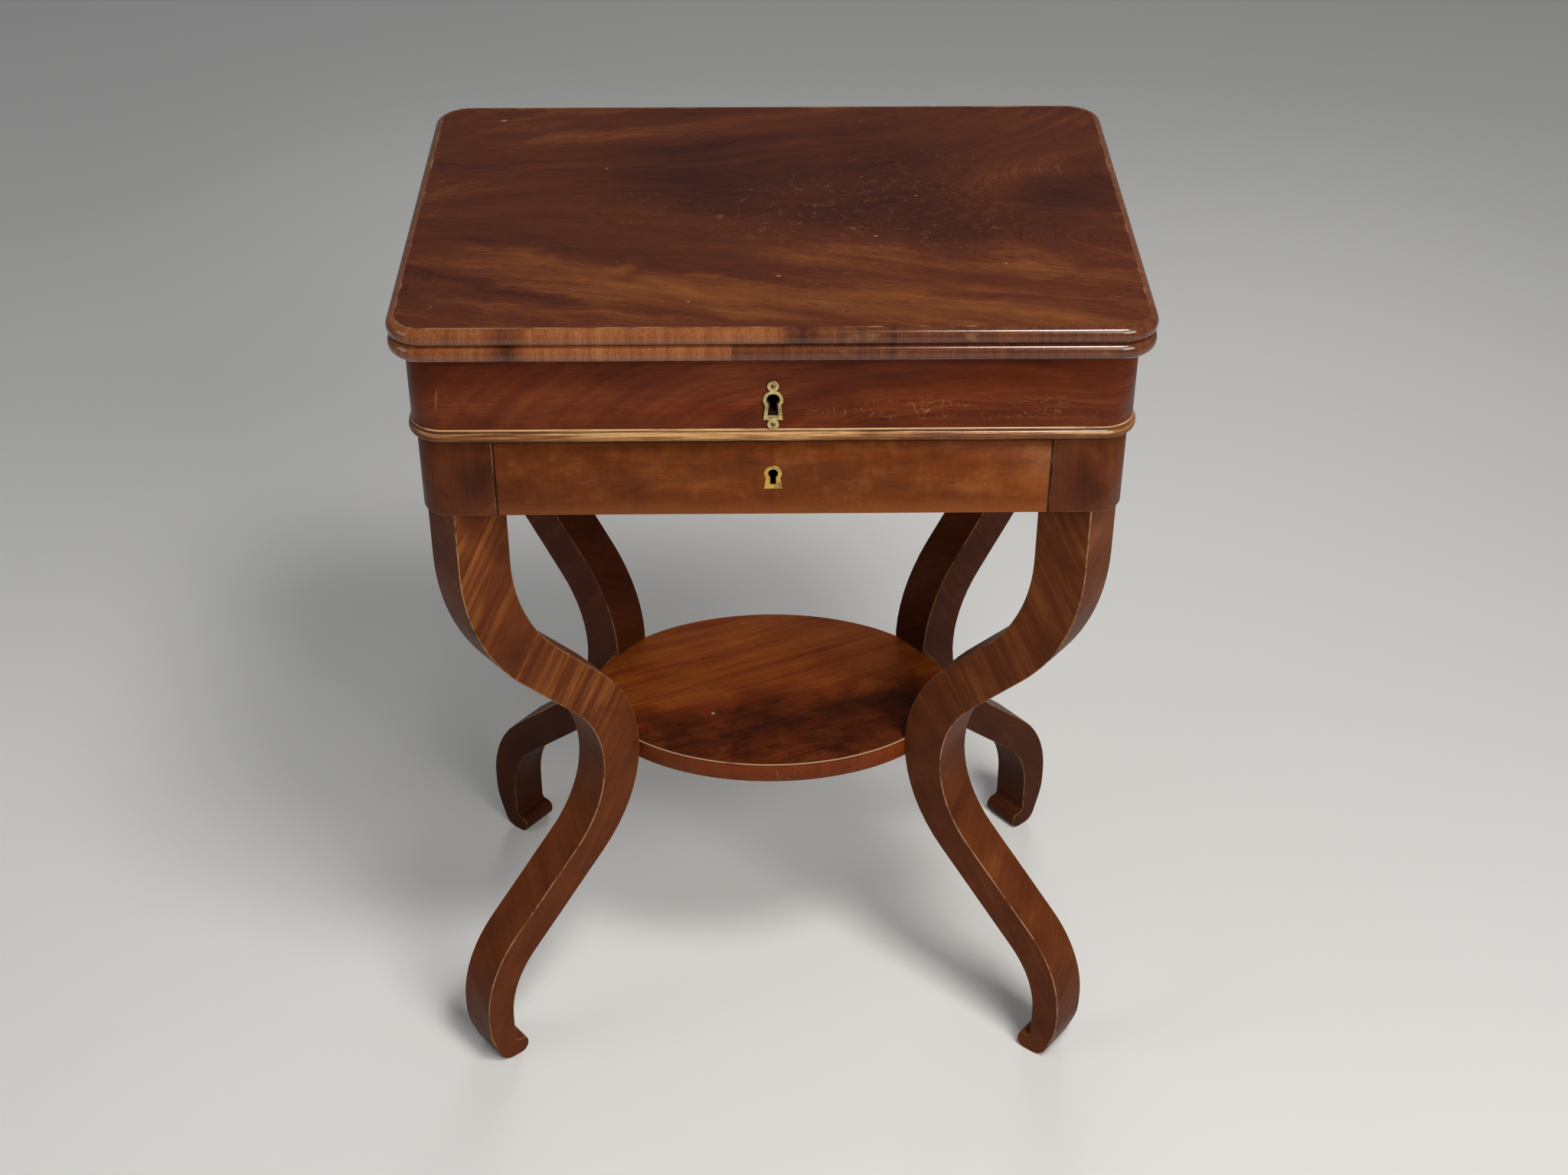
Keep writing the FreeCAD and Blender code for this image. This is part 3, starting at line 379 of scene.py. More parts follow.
class Jig(Board):
    """Geometry Nodes tree with named inputs, run once to make a plain mesh."""

    def __init__(self, name: str) -> None:
        """Start a tree with a geometry input and output."""
        super().__init__(bpy.data.node_groups.new(name, "GeometryNodeTree"))
        self.values: dict[str, object] = {}
        self.tree.interface.new_socket("Geometry", in_out="OUTPUT", socket_type="NodeSocketGeometry")
        self.tree.interface.new_socket("Points", in_out="INPUT", socket_type="NodeSocketGeometry")
        self.entry = self.node("NodeGroupInput").socket.node

    def points(self) -> Wire:
        """Geometry that the jig is given."""
        return Wire(self, self.entry.outputs["Points"])

    def input(self, name: str, kind: str, value: object) -> Wire:
        """Add a named input.

        Args:
            name: Name of the input.
            kind: Type of socket, such as Float, Int, Object or Material.
            value: What the input holds when the jig is run.

        Returns:
            The input's wire.
        """
        socket = self.tree.interface.new_socket(name, in_out="INPUT", socket_type=f"NodeSocket{kind}")
        self.values[socket.identifier] = value
        return Wire(self, self.entry.outputs[name])

    def end(self, geometry: Wire, finish: "Finish") -> None:
        """Make the result real, give it its material and put it out.

        Args:
            geometry: What the tree has made.
            finish: Finish of the whole result.
        """
        material = self.input("Finish", "Material", finish.material())
        real = self.node("GeometryNodeRealizeInstances", None, {0: geometry})
        dressed = self.node("GeometryNodeSetMaterial", None, {"Geometry": real, "Material": material})
        self.node("NodeGroupOutput", None, {"Geometry": dressed})

    def run(self, start: bpy.types.Mesh) -> bpy.types.Mesh:
        """Run the tree on a mesh.

        Args:
            start: Mesh that the jig is given.

        Returns:
            The result as a plain mesh.
        """
        holder = put(f"{self.tree.name}_holder", start)
        modifier = holder.modifiers.new("jig", "NODES")
        modifier.node_group = self.tree
        for identifier, value in self.values.items():
            modifier[identifier] = value
        return plain_mesh(holder)


# Finishes

class Grain(Enum):
    """Way that the grain of a plain piece runs."""

    LENGTH = "x"
    DEPTH = "y"


class Finish:
    """A material that is made when a piece first asks for it, and then shared."""

    name: str
    _made: ClassVar[dict[str, bpy.types.Material]] = {}

    def material(self) -> bpy.types.Material:
        """The finish's material."""
        if self.name not in Finish._made:
            board = FinishBoard(self.name)
            self.paint(board)
            Finish._made[self.name] = board.material
        return Finish._made[self.name]

    def paint(self, board: FinishBoard) -> None:
        """Build the material on a board."""
        raise NotImplementedError


@dataclass(frozen=True)
class Outline:
    """Rounded rectangle seen from above, for finishes that follow the edge of a piece."""

    half_width: float
    half_depth: float
    corner: float

    apart: ClassVar[Flat] = (3.7, 7.9)

    def depth_inside(self, board: FinishBoard, place: Wire) -> Wire:
        """Distance inside the outline.

        Args:
            board: Board of the material.
            place: Place on the table.

        Returns:
            Metres from the outline, positive inside it.
        """
        past_x, past_y = self._past_corner(board, place)
        out_x, out_y = past_x.most(0.0), past_y.most(0.0)
        outside = board.math("SQRT", out_x * out_x + out_y * out_y)
        inside = past_x.most(past_y).least(0.0)
        return self.corner - outside - inside

    def run(self, board: FinishBoard, place: Wire) -> Wire:
        """Distance along the outline, with the four quarters set apart.

        Args:
            board: Board of the material.
            place: Place on the table.

        Returns:
            Metres along the outline.
        """
        x, y, _ = board.axes(place)
        past_x, past_y = self._past_corner(board, place)
        turn = board.math("ARCTAN2", past_y.most(0.0), past_x.most(1e-5)) * self.corner
        along_side = abs(y).least(self.half_depth - self.corner)
        along_front = (past_x * -1.0).most(0.0)
        quarter = (x > 0.0) * self.apart[0] + (y > 0.0) * self.apart[1]
        return along_side + turn + along_front + quarter

    def skin(self, board: FinishBoard, place: Wire) -> Wire:
        """One within the thickness of a veneer on the outline, and nought further in."""
        return board.within(self.depth_inside(board, place), VENEER_THICKNESS, 0.0001)

    def _past_corner(self, board: FinishBoard, place: Wire) -> tuple[Wire, Wire]:
        """How far a place is past the centres of the corners, along x and along y."""
        x, y, _ = board.axes(place)
        return abs(x) - (self.half_width - self.corner), abs(y) - (self.half_depth - self.corner)


@dataclass(frozen=True)
class Polish:
    """Old shellac over mahogany: its shine, and what shows where it has gone."""

    roughness: float = 0.30
    haze: float = 0.30
    specular: float = 0.10
    coat: float = 0.03
    coat_roughness: float = 0.12
    relief: float = 0.00012
    worn: Colour = (0.33, 0.180, 0.078)

    def lay(self, board: FinishBoard, colour: Wire, grain: Wire, wear: Wire, pores: Wire,
            shine: Wire | float = 0.0) -> None:
        """Cover a colour with polish and end the material.

        Args:
            board: Board of the material.
            colour: Colour of the wood.
            grain: Place along and across the grain.
            wear: Share of bare, worn wood.
            pores: Share of open pores.
            shine: Share that is rubbed to a high shine.
        """
        cloud = board.swing(grain, (0.045, 0.03, 0.03), 3.0)
        rough = (self.roughness + cloud * self.haze + wear * 0.25) * (1.0 - shine * 0.55)
        ripple = board.swing(grain, (0.09, 0.006, 0.006), 2.0)
        height = 0.5 + ripple * 0.6 - pores * 0.25 - wear * 0.25
        board.surface({
            "Base Color": board.mix(wear, colour, self.worn),
            "Roughness": rough,
            "Normal": board.bump(height, self.relief),
            "Specular IOR Level": self.specular,
            "Coat Weight": (1.0 - wear) * (self.coat + shine * 0.7),
            "Coat Roughness": self.coat_roughness,
        })


@dataclass(frozen=True)
class Timber:
    """Colours and fine grain of one cut of wood."""

    deep: Colour
    warm: Colour
    bright: Colour
    fine: float = 0.55
    pore_share: float = 0.35
    pore_shade: float = 0.45

    def colour(self, board: FinishBoard, tone: Wire, grain: Wire) -> tuple[Wire, Wire]:
        """Colour of the wood for a broad tone, with its fine grain and pores.

        Args:
            board: Board of the material.
            tone: Broad figure, from 0, deep, to 1, bright.
            grain: Place along and across the grain.

        Returns:
            The colour, and the share of open pores.
        """
        lines = board.swing(grain, (0.06, 0.0014, 0.0014), 3.0, 0.2)
        flecks = board.noise(grain, (0.009, 0.00055, 0.00055), 1.0)
        pores = board.span(flecks, 0.56, 0.68)
        shade = tone + lines * self.fine
        wood = board.ramp(shade, (0.0, self.deep), (0.5, self.warm), (1.0, self.bright))
        dark = tuple(part * self.pore_shade for part in self.deep)
        return board.mix(pores * self.pore_share, wood, dark), pores


def along_grain(board: FinishBoard, way: Grain) -> Wire:
    """Place on the table with the grain's way first.

    Args:
        board: Board of the material.
        way: Way of the grain.

    Returns:
        The place, turned so that x runs along the grain.
    """
    x, y, z = board.axes(board.place())
    return board.vector(x, y, z) if way is Grain.LENGTH else board.vector(y, x, z)


VENEER_THICKNESS = 0.0011
# Near-black colour: dirt in joints, and painted shade in keyholes, in the gap at the drawer front's ends and
# under the bead.
DIRT_AND_PAINTED_SHADE = (0.010, 0.0040, 0.0020)
KEYWAY_HALF = (0.0085, 0.017)
FRONT = (-0.15, -0.17)
# Band under the bead that is darkened, and how much: dirt in the joint, and painted shade beneath the bead.
UNDER_BEAD = (0.6382, 0.6402)
UNDER_BEAD_DIRT_AND_SHADE = 0.8
LEAF_OUTLINE = Outline(0.2725, 0.1935, 0.028)
UPPER_OUTLINE = Outline(0.263, 0.178, 0.025)
LOWER_OUTLINE = Outline(0.260, 0.175, 0.022)
FRIEZE_BACK = Timber((0.11, 0.050, 0.020), (0.20, 0.105, 0.046), (0.30, 0.175, 0.085), 0.3, 0.2)
BARE_WOOD = Timber((0.13, 0.066, 0.026), (0.24, 0.135, 0.060), (0.36, 0.22, 0.11), 0.3, 0.2)


def keyway_painted_shade(board: FinishBoard, x: Wire, z: Wire, level: float) -> Wire:
    """Share of painted shade inside a keyhole, standing in for the dark of the hole.

    Args:
        board: Board of the material.
        x: Distance from the middle of the front.
        z: Height.
        level: Height of the keyhole's middle.

    Returns:
        One inside the keyhole and nought away from it.
    """
    half_width, half_height = KEYWAY_HALF
    return board.within(abs(x), half_width, 0.0005) * (abs(z - level) < half_height)


@dataclass(frozen=True)
class Shade:
    """Soft patch of lighter or darker wood in a figure."""

    middle: Flat
    reach: Flat
    turn: float
    strength: float


@dataclass(frozen=True)
class Nick:
    """Small chip in the polish, down to bare wood."""

    middle: Flat
    radius: float

    def mark(self, x: Wire, y: Wire, squash: float = 1.0) -> Wire:
        """Where the chip is.

        Args:
            x: Place across the table.
            y: Place along its depth.
            squash: Factor on x that makes the chip longer when it is below one.

        Returns:
            One inside the chip and nought outside.
        """
        from_x, from_y = x - self.middle[0], y - self.middle[1]
        return (from_x * from_x * squash + from_y * from_y) < self.radius * self.radius


@dataclass(frozen=True)
class LeafVeneer(Finish):
    """Feathered face of a leaf, with cross-grained bands on its round edge."""

    name: str
    face: Timber = Timber((0.042, 0.0115, 0.0080), (0.098, 0.0245, 0.0100), (0.255, 0.0830, 0.0200))
    band: Timber = Timber((0.050, 0.0120, 0.0050), (0.180, 0.0520, 0.0160), (0.380, 0.1450, 0.0520))
    polish: Polish = Polish(roughness=0.36, specular=0.09, coat=0.02)
    apex: Flat = (-0.250, -0.012)
    band_width: float = 0.0062
    line_level: float = 0.7355
    left_dark: float = -0.187
    left_seam: float = -0.171
    lower_seam: float = -0.029
    seam_step: float = 0.036
    upper_dark: float = 0.021
    scratched: Flat = (0.075, -0.010)
    scratched_reach: Flat = (0.17, 0.10)
    nick_squash: float = 0.35
    shades: tuple[Shade, ...] = (
        Shade((-0.055, 0.060), (0.150, 0.095), 0.0, -0.40),
        Shade((0.085, 0.078), (0.115, 0.085), 12.0, -0.34),
        Shade((0.075, -0.008), (0.230, 0.075), -8.0, -0.32),
        Shade((0.240, 0.030), (0.085, 0.066), 35.0, -0.28),
        Shade((0.205, 0.085), (0.125, 0.026), 38.0, 0.20),
        Shade((-0.080, 0.146), (0.150, 0.040), 3.0, 0.04),
        Shade((-0.120, -0.112), (0.170, 0.050), -17.0, 0.30),
        Shade((0.070, -0.160), (0.330, 0.060), -3.0, 0.26),
        Shade((0.105, -0.088), (0.220, 0.026), -12.0, 0.20),
        Shade((0.173, -0.062), (0.036, 0.024), 0.0, 0.26),
        Shade((-0.195, -0.128), (0.105, 0.015), -24.0, -0.30),
        Shade((-0.085, -0.086), (0.190, 0.024), -16.0, -0.26),
        Shade((-0.258, -0.128), (0.036, 0.050), 0.0, -0.26),
        Shade((-0.235, -0.055), (0.080, 0.024), -10.0, -0.20),
        Shade((0.190, 0.150), (0.150, 0.030), 12.0, 0.14),
        Shade((0.215, -0.110), (0.120, 0.050), -8.0, 0.20),
    )
    nicks: tuple[Nick, ...] = (
        Nick((0.0048, -0.111), 0.0011),
        Nick((-0.2163, 0.163), 0.0016),
        Nick((-0.128, 0.071), 0.0007),
        Nick((0.171, -0.093), 0.0008),
        Nick((0.078, -0.048), 0.0009),
        Nick((0.112, 0.020), 0.0007),
        Nick((-0.06, -0.15), 0.0008),
    )

    def paint(self, board: FinishBoard) -> None:
        """Build the material on a board.

        Args:
            board: Board of the material.
        """
        place = board.place()
        edge = LEAF_OUTLINE.depth_inside(board, place)
        on_band = board.within(edge, self.band_width, 0.0003)
        tone, grain = self._flame(board, place)
        face, pores = self.face.colour(board, tone, grain)
        run = LEAF_OUTLINE.run(board, place)
        height = board.axes(place)[2]
        band_grain = board.vector(height, run, edge)
        band, _ = self.band.colour(board, self._lengths(board, run, place), band_grain)
        wood = board.mix(on_band, face, band)
        wear = self._wear(board, place, edge)
        self.polish.lay(board, wood, grain, wear, pores * (1.0 - on_band), on_band)

    def _flame(self, board: FinishBoard, place: Wire) -> tuple[Wire, Wire]:
        """Figure of the face: lines that close at the left and sweep out to the right, with a dark heart.

        Args:
            board: Board of the material.
            place: Place on the table.

        Returns:
            Tone from 0 to 1, and the place along and across the grain.
        """
        x, y, _ = board.axes(place)
        sway = board.swing(place, (0.17, 0.10, 0.2), 2.0)
        ease = board.swing(place, (0.05, 0.03, 0.1), 2.0, 0.5)
        right = x.most(0.0)
        lift = (right * right * 1.6 + (x + 0.2) * 0.14) * board.span(y, -0.05, 0.10)
        fall = board.span(y, 0.02, -0.10) * (x + 0.1) * 0.27
        along = x - self.apex[0] + sway * 0.12
        across = y - self.apex[1] - lift + fall + sway * 0.05 + ease * 0.012
        reach = board.math("SQRT", along * along + across * across * 1.3)
        feathers = board.vector(reach - along, reach + along)
        streaks = board.swing(feathers, (0.030, 0.42, 1.0), 3.0, 0.25)
        level = board.swing(board.vector(x, across), (0.24, 0.020, 1.0), 4.0, 0.2)
        broad = board.swing(board.vector(x, across, 7.0), (0.23, 0.060, 1.0), 2.0)
        mottle = board.swing(place, (0.014, 0.006, 0.1), 3.0, 0.6)
        tone = 0.44 + streaks * 0.50 + level * 0.75 + broad * 0.50 + mottle * 0.24
        warped = board.vector(x + sway * 0.10 + ease * 0.03, y + ease * 0.05 - sway * 0.04)
        for shade in self.shades:
            tone = tone + board.patch(warped, shade.middle, shade.reach, shade.turn) * shade.strength
        return tone, board.vector(x, across)

    def _lengths(self, board: FinishBoard, run: Wire, place: Wire) -> Wire:
        """Tone of the edge, which is laid in short cross-grained lengths.

        Args:
            board: Board of the material.
            run: Distance along the edge.
            place: Place on the table.

        Returns:
            Tone from 0 to 1.
        """
        x, y, z = board.axes(place)
        upper = z > LEAF_JOINT
        bars = board.swing(board.vector(run, upper), (0.007, 1.0, 1.0), 3.0)
        wide = board.swing(board.vector(run, upper, 3.0), (0.050, 1.0, 1.0), 2.0)
        tone = 0.46 + bars * 0.70 + wide * 0.60
        pale = board.past(x, self.left_seam, 0.001)
        pale = pale * board.within(x - upper * self.seam_step, self.lower_seam, 0.001)
        dark = board.span(abs(x - self.left_dark), 0.013, 0.002) * (0.36 - upper * 0.12)
        dark = dark + upper * board.span(abs(x - self.upper_dark), 0.020, 0.004) * 0.22
        after_seam = board.past(x, self.lower_seam, 0.0005) * board.span(x, 0.060, -0.028)
        dark = dark + (1.0 - upper) * after_seam * 0.30
        left, right = board.span(x, 0.02, -0.02), board.span(x, -0.02, 0.06)
        return tone + (pale * 0.10 + left * 0.07 - dark - right * 0.24) * board.span(y, *FRONT)

    def _wear(self, board: FinishBoard, place: Wire, edge: Wire) -> Wire:
        """Bare wood: the rubbed line round the face, hairline scratches and nicks.

        Args:
            board: Board of the material.
            place: Place on the table.
            edge: Distance from the edge.

        Returns:
            Share of bare wood.
        """
        x, y, z = board.axes(place)
        rubbed = board.noise(place, 0.022, 4.0)
        corner = board.span(x, 0.05, -0.22) * board.span(y, -0.15, -0.19)
        line = board.span(abs(edge - self.band_width), 0.0014, 0.0003) * (z > self.line_level)
        arris = line * board.span(rubbed + corner * 0.14, 0.50, 0.70) * 0.75
        nose = board.span(edge, 0.0016, 0.0002) * board.span(rubbed, 0.60, 0.72) * 0.30
        field = board.span(board.noise(place, (0.10, 0.06, 0.1)), 0.46, 0.64) * 0.6
        heart = board.patch(board.vector(x, y), self.scratched, self.scratched_reach)
        field = field.most(board.span(heart, 0.0, 0.4))
        level = board.hairlines(place, (0.024, 0.0036, 0.01), 0.012, 3.0)
        slanted = board.hairlines(place, (0.018, 0.006, 0.01), 0.010, 58.0, (0.4, 0.2, 0.0))
        broken = board.span(board.noise(place, 0.010, 1.0), 0.52, 0.60)
        scratches = level.most(slanted * 0.8) * field * broken * 0.42
        wear = arris.most(nose).most(scratches)
        for nick in self.nicks:
            wear = wear.most(nick.mark(x, y, self.nick_squash) * 0.9)
        return wear


@dataclass(frozen=True)
class FriezeVeneer(Finish):
    """Veneer with long grain round the friezes, on a plain carcase."""

    name: str
    outline: Outline
    timber: Timber
    eye: Flat = (-0.070, 0.625)
    carcase: Timber = FRIEZE_BACK
    polish: Polish = Polish(roughness=0.36)
    scuff_reach: Flat = (0.015, 0.215)
    scuff_level: float = 0.6675
    scar: Flat = (-0.2405, 0.677)
    scar_reach: Flat = (0.0016, 0.016)
    scar_turn: float = -8.0
    # Place and reach of the painted shade behind the escutcheon's keyhole slot, and height of the painted
    # shade in the keyway.
    keyhole: Flat = (0.0, 0.6645)
    keyhole_reach: Flat = (0.006, 0.006)
    keyway_level: float = 0.673

    def paint(self, board: FinishBoard) -> None:
        """Build the material on a board.

        Args:
            board: Board of the material.
        """
        place = board.place()
        x, y, z = board.axes(place)
        front = y < 0.0
        run = x + y
        grain = board.vector(run, z)
        wood, pores = self.timber.colour(board, self._figure(board, run, z), grain)
        # Painted shade: the face behind the keyhole slot is darkened to near black, as the shade of the hole.
        keyhole_shade = board.patch(board.vector(x, z), self.keyhole, self.keyhole_reach) * front
        wood = board.mix(board.span(keyhole_shade, 0.0, 0.2), wood, DIRT_AND_PAINTED_SHADE)
        inside, _ = self.carcase.colour(board, board.noise(grain, (0.12, 0.006, 0.01), 3.0), grain)
        # Painted shade inside the keyway through the carcase.
        inside = board.mix(keyway_painted_shade(board, x, z, self.keyway_level) * front, inside, DIRT_AND_PAINTED_SHADE)
        wood = board.mix(self.outline.skin(board, place), inside, wood)
        self.polish.lay(board, wood, grain, self._wear(board, place), pores)

    def _figure(self, board: FinishBoard, run: Wire, z: Wire) -> Wire:
        """Tone of the veneer: lines that rise in arches at the left and run level at the right.

        Args:
            board: Board of the material.
            run: Distance along the frieze.
            z: Height.

        Returns:
            Tone from 0 to 1.
        """
        place = board.vector(run, z)
        sway = board.swing(place, (0.12, 0.05, 1.0), 2.0)
        along = (run - self.eye[0]).least(0.0) + sway * 0.03
        across = z - self.eye[1] + sway * 0.03
        arch = board.math("SQRT", along * along * 0.18 + across * across)
        lines = board.swing(board.vector(arch, run, 2.0), (0.006, 0.30, 1.0), 3.0, 0.2)
        clouds = board.swing(place, (0.075, 0.030, 1.0), 3.0, 0.4)
        curls = board.swing(place, (0.016, 0.006, 1.0), 3.0, 1.0)
        return 0.46 + lines * 0.90 + clouds * 1.10 + curls * 0.30

    def _wear(self, board: FinishBoard, place: Wire) -> Wire:
        """Rubbed arrises, a scar at the left of the front and a patch of fine scratches at its right.

        Args:
            board: Board of the material.
            place: Place on the table.

        Returns:
            Share of bare wood.
        """
        x, y, z = board.axes(place)
        front = y < 0.0
        scar = board.patch(board.vector(x, z), self.scar, self.scar_reach, self.scar_turn) * front
        low, high = self.scuff_reach
        patch = board.span(x, low, low + 0.03) * board.span(x, high + 0.03, high)
        patch = patch * board.span(abs(z - self.scuff_level), 0.013, 0.002) * front
        curls = board.hairlines(place, (0.0085, 0.0085, 0.0060), 0.024)
        broken = board.span(board.noise(place, (0.014, 0.014, 0.009)), 0.48, 0.60)
        arris = board.rubbed_arris(place, 0.46, 0.64) * 0.45
        return arris.most(patch * curls * broken * 0.60).most(board.span(scar, 0.2, 0.7) * 0.32)


@dataclass(frozen=True)
class DrawerVeneer(Finish):
    """Mottled veneer in two halves on the drawer front, and bare wood behind it."""

    name: str
    timber: Timber = Timber(
        (0.066, 0.0130, 0.0022), (0.148, 0.0345, 0.0058), (0.270, 0.0860, 0.0180), 0.25, 0.25)
    carcase: Timber = BARE_WOOD
    polish: Polish = Polish(roughness=0.40, coat=0.01)
    face: float = -0.1738
    keyway_back: float = -0.1549
    half_width: float = 0.2035
    seam: float = 0.001
    foot: Flat = (0.577, 0.590)
    foot_colour: Colour = (0.27, 0.080, 0.018)
    keyway_level: float = 0.614

    def paint(self, board: FinishBoard) -> None:
        """Build the material on a board.

        Args:
            board: Board of the material.
        """
        place = board.place()
        x, y, z = board.axes(place)
        grain = board.vector(x, z, y)
        mottle = board.swing(place, (0.020, 0.05, 0.014), 5.0, 0.5)
        blots = board.swing(place, (0.085, 0.05, 0.035), 2.0, 0.5, (0.3, 0.0, 0.1))
        ripples = board.swing(place, (0.007, 0.05, 0.018), 2.0, 0.8)
        half = board.past(x, self.seam, 0.001)
        tone = 0.40 + mottle * 0.75 + blots * 0.85 + ripples * 0.35 + half * 0.14
        wood, pores = self.timber.colour(board, tone, grain)
        low, high = self.foot
        wood = board.mix(board.span(z + mottle * 0.02, high, low) * 0.45, wood, self.foot_colour)
        # Dark line at the ends of the front: dirt in the joint, and painted shade of the gap beside the
        # corner blocks.
        wood = board.mix(board.within(self.half_width - abs(x), 0.0010, 0.0003) * 0.9, wood, DIRT_AND_PAINTED_SHADE)
        # Dark band under the bead: dirt in the joint, and painted shade beneath the bead.
        wood = board.mix(board.span(z, *UNDER_BEAD) * UNDER_BEAD_DIRT_AND_SHADE, wood, DIRT_AND_PAINTED_SHADE)
        bare, _ = self.carcase.colour(board, board.noise(grain, (0.15, 0.007, 0.01), 3.0), grain)
        # Painted shade inside the keyway behind the front.
        keyway = keyway_painted_shade(board, x, z, self.keyway_level) * (y < self.keyway_back)
        bare = board.mix(keyway, bare, DIRT_AND_PAINTED_SHADE)
        on_face = board.within(y, self.face, 0.0001)
        arris = board.rubbed_arris(place, 0.40, 0.60) * on_face * 0.55
        swirls = board.hairlines(place, (0.012, 0.012, 0.010), 0.010) * board.span(mottle, 0.03, 0.16)
        wear = arris.most(swirls * on_face * 0.22)
        self.polish.lay(board, board.mix(on_face, bare, wood), grain, wear, pores * on_face)


@dataclass(frozen=True)
class BlockVeneer(Finish):
    """Upright veneer of the corner blocks, each with a shadowy blot, on a plain carcase."""

    name: str
    timber: Timber = Timber((0.026, 0.0062, 0.0030), (0.092, 0.0215, 0.0058), (0.165, 0.0460, 0.0125), 0.30)
    carcase: Timber = BARE_WOOD
    polish: Polish = Polish(roughness=0.40, coat=0.01)
    blots: tuple[Flat, ...] = ((-0.217, 0.609), (0.231, 0.606))
    blot_reach: Flat = (0.026, 0.038)

    def paint(self, board: FinishBoard) -> None:
        """Build the material on a board.

        Args:
            board: Board of the material.
        """
        place = board.place()
        x, y, z = board.axes(place)
        grain = board.vector(z, x + y, x - y)
        clouds = board.swing(place, (0.022, 0.022, 0.026), 4.0, 0.6)
        bars = board.swing(grain, (0.20, 0.014, 0.014), 2.0)
        tone = 0.56 + clouds * 0.75 + bars * 0.30 + (x > 0.0) * 0.06
        seen = board.vector(x + clouds * 0.02, z + bars * 0.02)
        for middle in self.blots:
            tone = tone - board.patch(seen, middle, self.blot_reach) * 0.38
        wood, pores = self.timber.colour(board, tone, grain)
        # Dark band under the bead: dirt in the joint, and painted shade beneath the bead.
        wood = board.mix(board.span(z, *UNDER_BEAD) * UNDER_BEAD_DIRT_AND_SHADE, wood, DIRT_AND_PAINTED_SHADE)
        bare, _ = self.carcase.colour(board, clouds + 0.5, grain)
        veneered = LOWER_OUTLINE.skin(board, place)
        wear = board.rubbed_arris(place, 0.42, 0.60) * 0.40
        self.polish.lay(board, board.mix(veneered, bare, wood), grain, wear, pores * veneered)


@dataclass(frozen=True)
class BeadWood(Finish):
    """Solid bead, rubbed to golden wood along its upper edge and along the middle of the front."""

    name: str
    timber: Timber = Timber((0.080, 0.0225, 0.0075), (0.215, 0.0800, 0.0250), (0.520, 0.3000, 0.1200))
    polish: Polish = Polish(roughness=0.28, coat=0.10, worn=(0.62, 0.40, 0.19))
    worn_middle: float = -0.055
    worn_reach: float = 0.20
    seam: float = 0.6500
    waist: float = 0.6455
    # Near-black colour of the painted shade in the groove and the painted shadow along the foot.
    groove: Colour = (0.018, 0.0065, 0.0030)

    def paint(self, board: FinishBoard) -> None:
        """Build the material on a board.

        Args:
            board: Board of the material.
        """
        place = board.place()
        x, y, z = board.axes(place)
        depth = LOWER_OUTLINE.depth_inside(board, place)
        grain = board.vector(x + y, z * 1.5, depth)
        front = board.span(y, *FRONT)
        golden = board.span(abs(x - self.worn_middle), self.worn_reach, 0.0) * front
        upper = board.span(z, self.waist - 0.001, self.waist + 0.003)
        streaks = board.swing(grain, (0.035, 0.0014, 0.0014), 5.0)
        patch = board.swing(place, (0.030, 0.05, 0.05), 3.0)
        tone = 0.24 + streaks * 2.0 + patch * 0.5 + golden * 0.50 + upper * (0.08 + front * 0.18)
        wood, pores = self.timber.colour(board, tone, grain)
        # Painted shade in the groove between the round and the fillet.
        wood = board.mix(board.span(abs(z - self.seam), 0.0008, 0.0003) * 0.75, wood, self.groove)
        # Painted shadow along the bead's foot.
        foot = board.span(z, BEAD_FOOT + 0.0030, BEAD_FOOT + 0.0008)
        wood = board.mix(foot * 0.8, wood, self.groove)
        rubbed = board.noise(place, 0.03, 4.0)
        line = board.span(z, self.seam + 0.0009, self.seam + 0.0015) * board.span(rubbed, 0.36, 0.54)
        self.polish.lay(board, wood, grain, line * 0.7, pores, upper * 0.6)


@dataclass(frozen=True)
class LegVeneer(Finish):
    """Veneer whose stripes cross the legs on a slant, pale along the rubbed arrises."""

    name: str
    timber: Timber = Timber((0.044, 0.0106, 0.0040), (0.126, 0.0320, 0.0088), (0.260, 0.0820, 0.0185), 0.30)
    polish: Polish = Polish(roughness=0.44, specular=0.05, coat=0.01, worn=(0.42, 0.250, 0.115))
    slant: float = 34.0
    plain_below: float = 0.300

    def paint(self, board: FinishBoard) -> None:
        """Build the material on a board.

        Args:
            board: Board of the material.
        """
        leg_map = board.piece_map()
        stripes = board.mark(STRIPES)
        grain = board.stretched(leg_map, 1.0, 90.0 + self.slant)
        bars = board.swing(grain, (0.16, 0.0060, 1.0), 3.0, 0.2)
        broad = board.swing(grain, (0.10, 0.030, 1.0), 2.0, 0.3)
        clouds = board.swing(leg_map, (0.05, 0.05, 1.0), 3.0, 0.3)
        high = board.span(board.axes(board.place())[2], self.plain_below, self.plain_below + 0.06)
        strong = stripes * high * board.span(broad + clouds * 0.5, -0.16, 0.06)
        tone = 0.40 + clouds * 0.70 + broad * 0.50 + high * 0.06
        tone = tone + bars * (0.35 + strong * 1.30) + strong * 0.10
        wood, pores = self.timber.colour(board, tone, grain)
        rubbed = board.noise(leg_map, (0.040, 0.040, 1.0), 3.0)
        frayed = board.noise(leg_map, (0.006, 0.006, 1.0))
        line = board.span(rubbed * 0.6 + frayed * 0.4, 0.36, 0.60)
        specks = board.specks(leg_map, (0.016, 0.016, 1.0), 0.04, 0.16)
        wear = (board.mark(ARRIS) * line * 0.75).most(specks * 0.30)
        self.polish.lay(board, wood, grain, wear, pores)


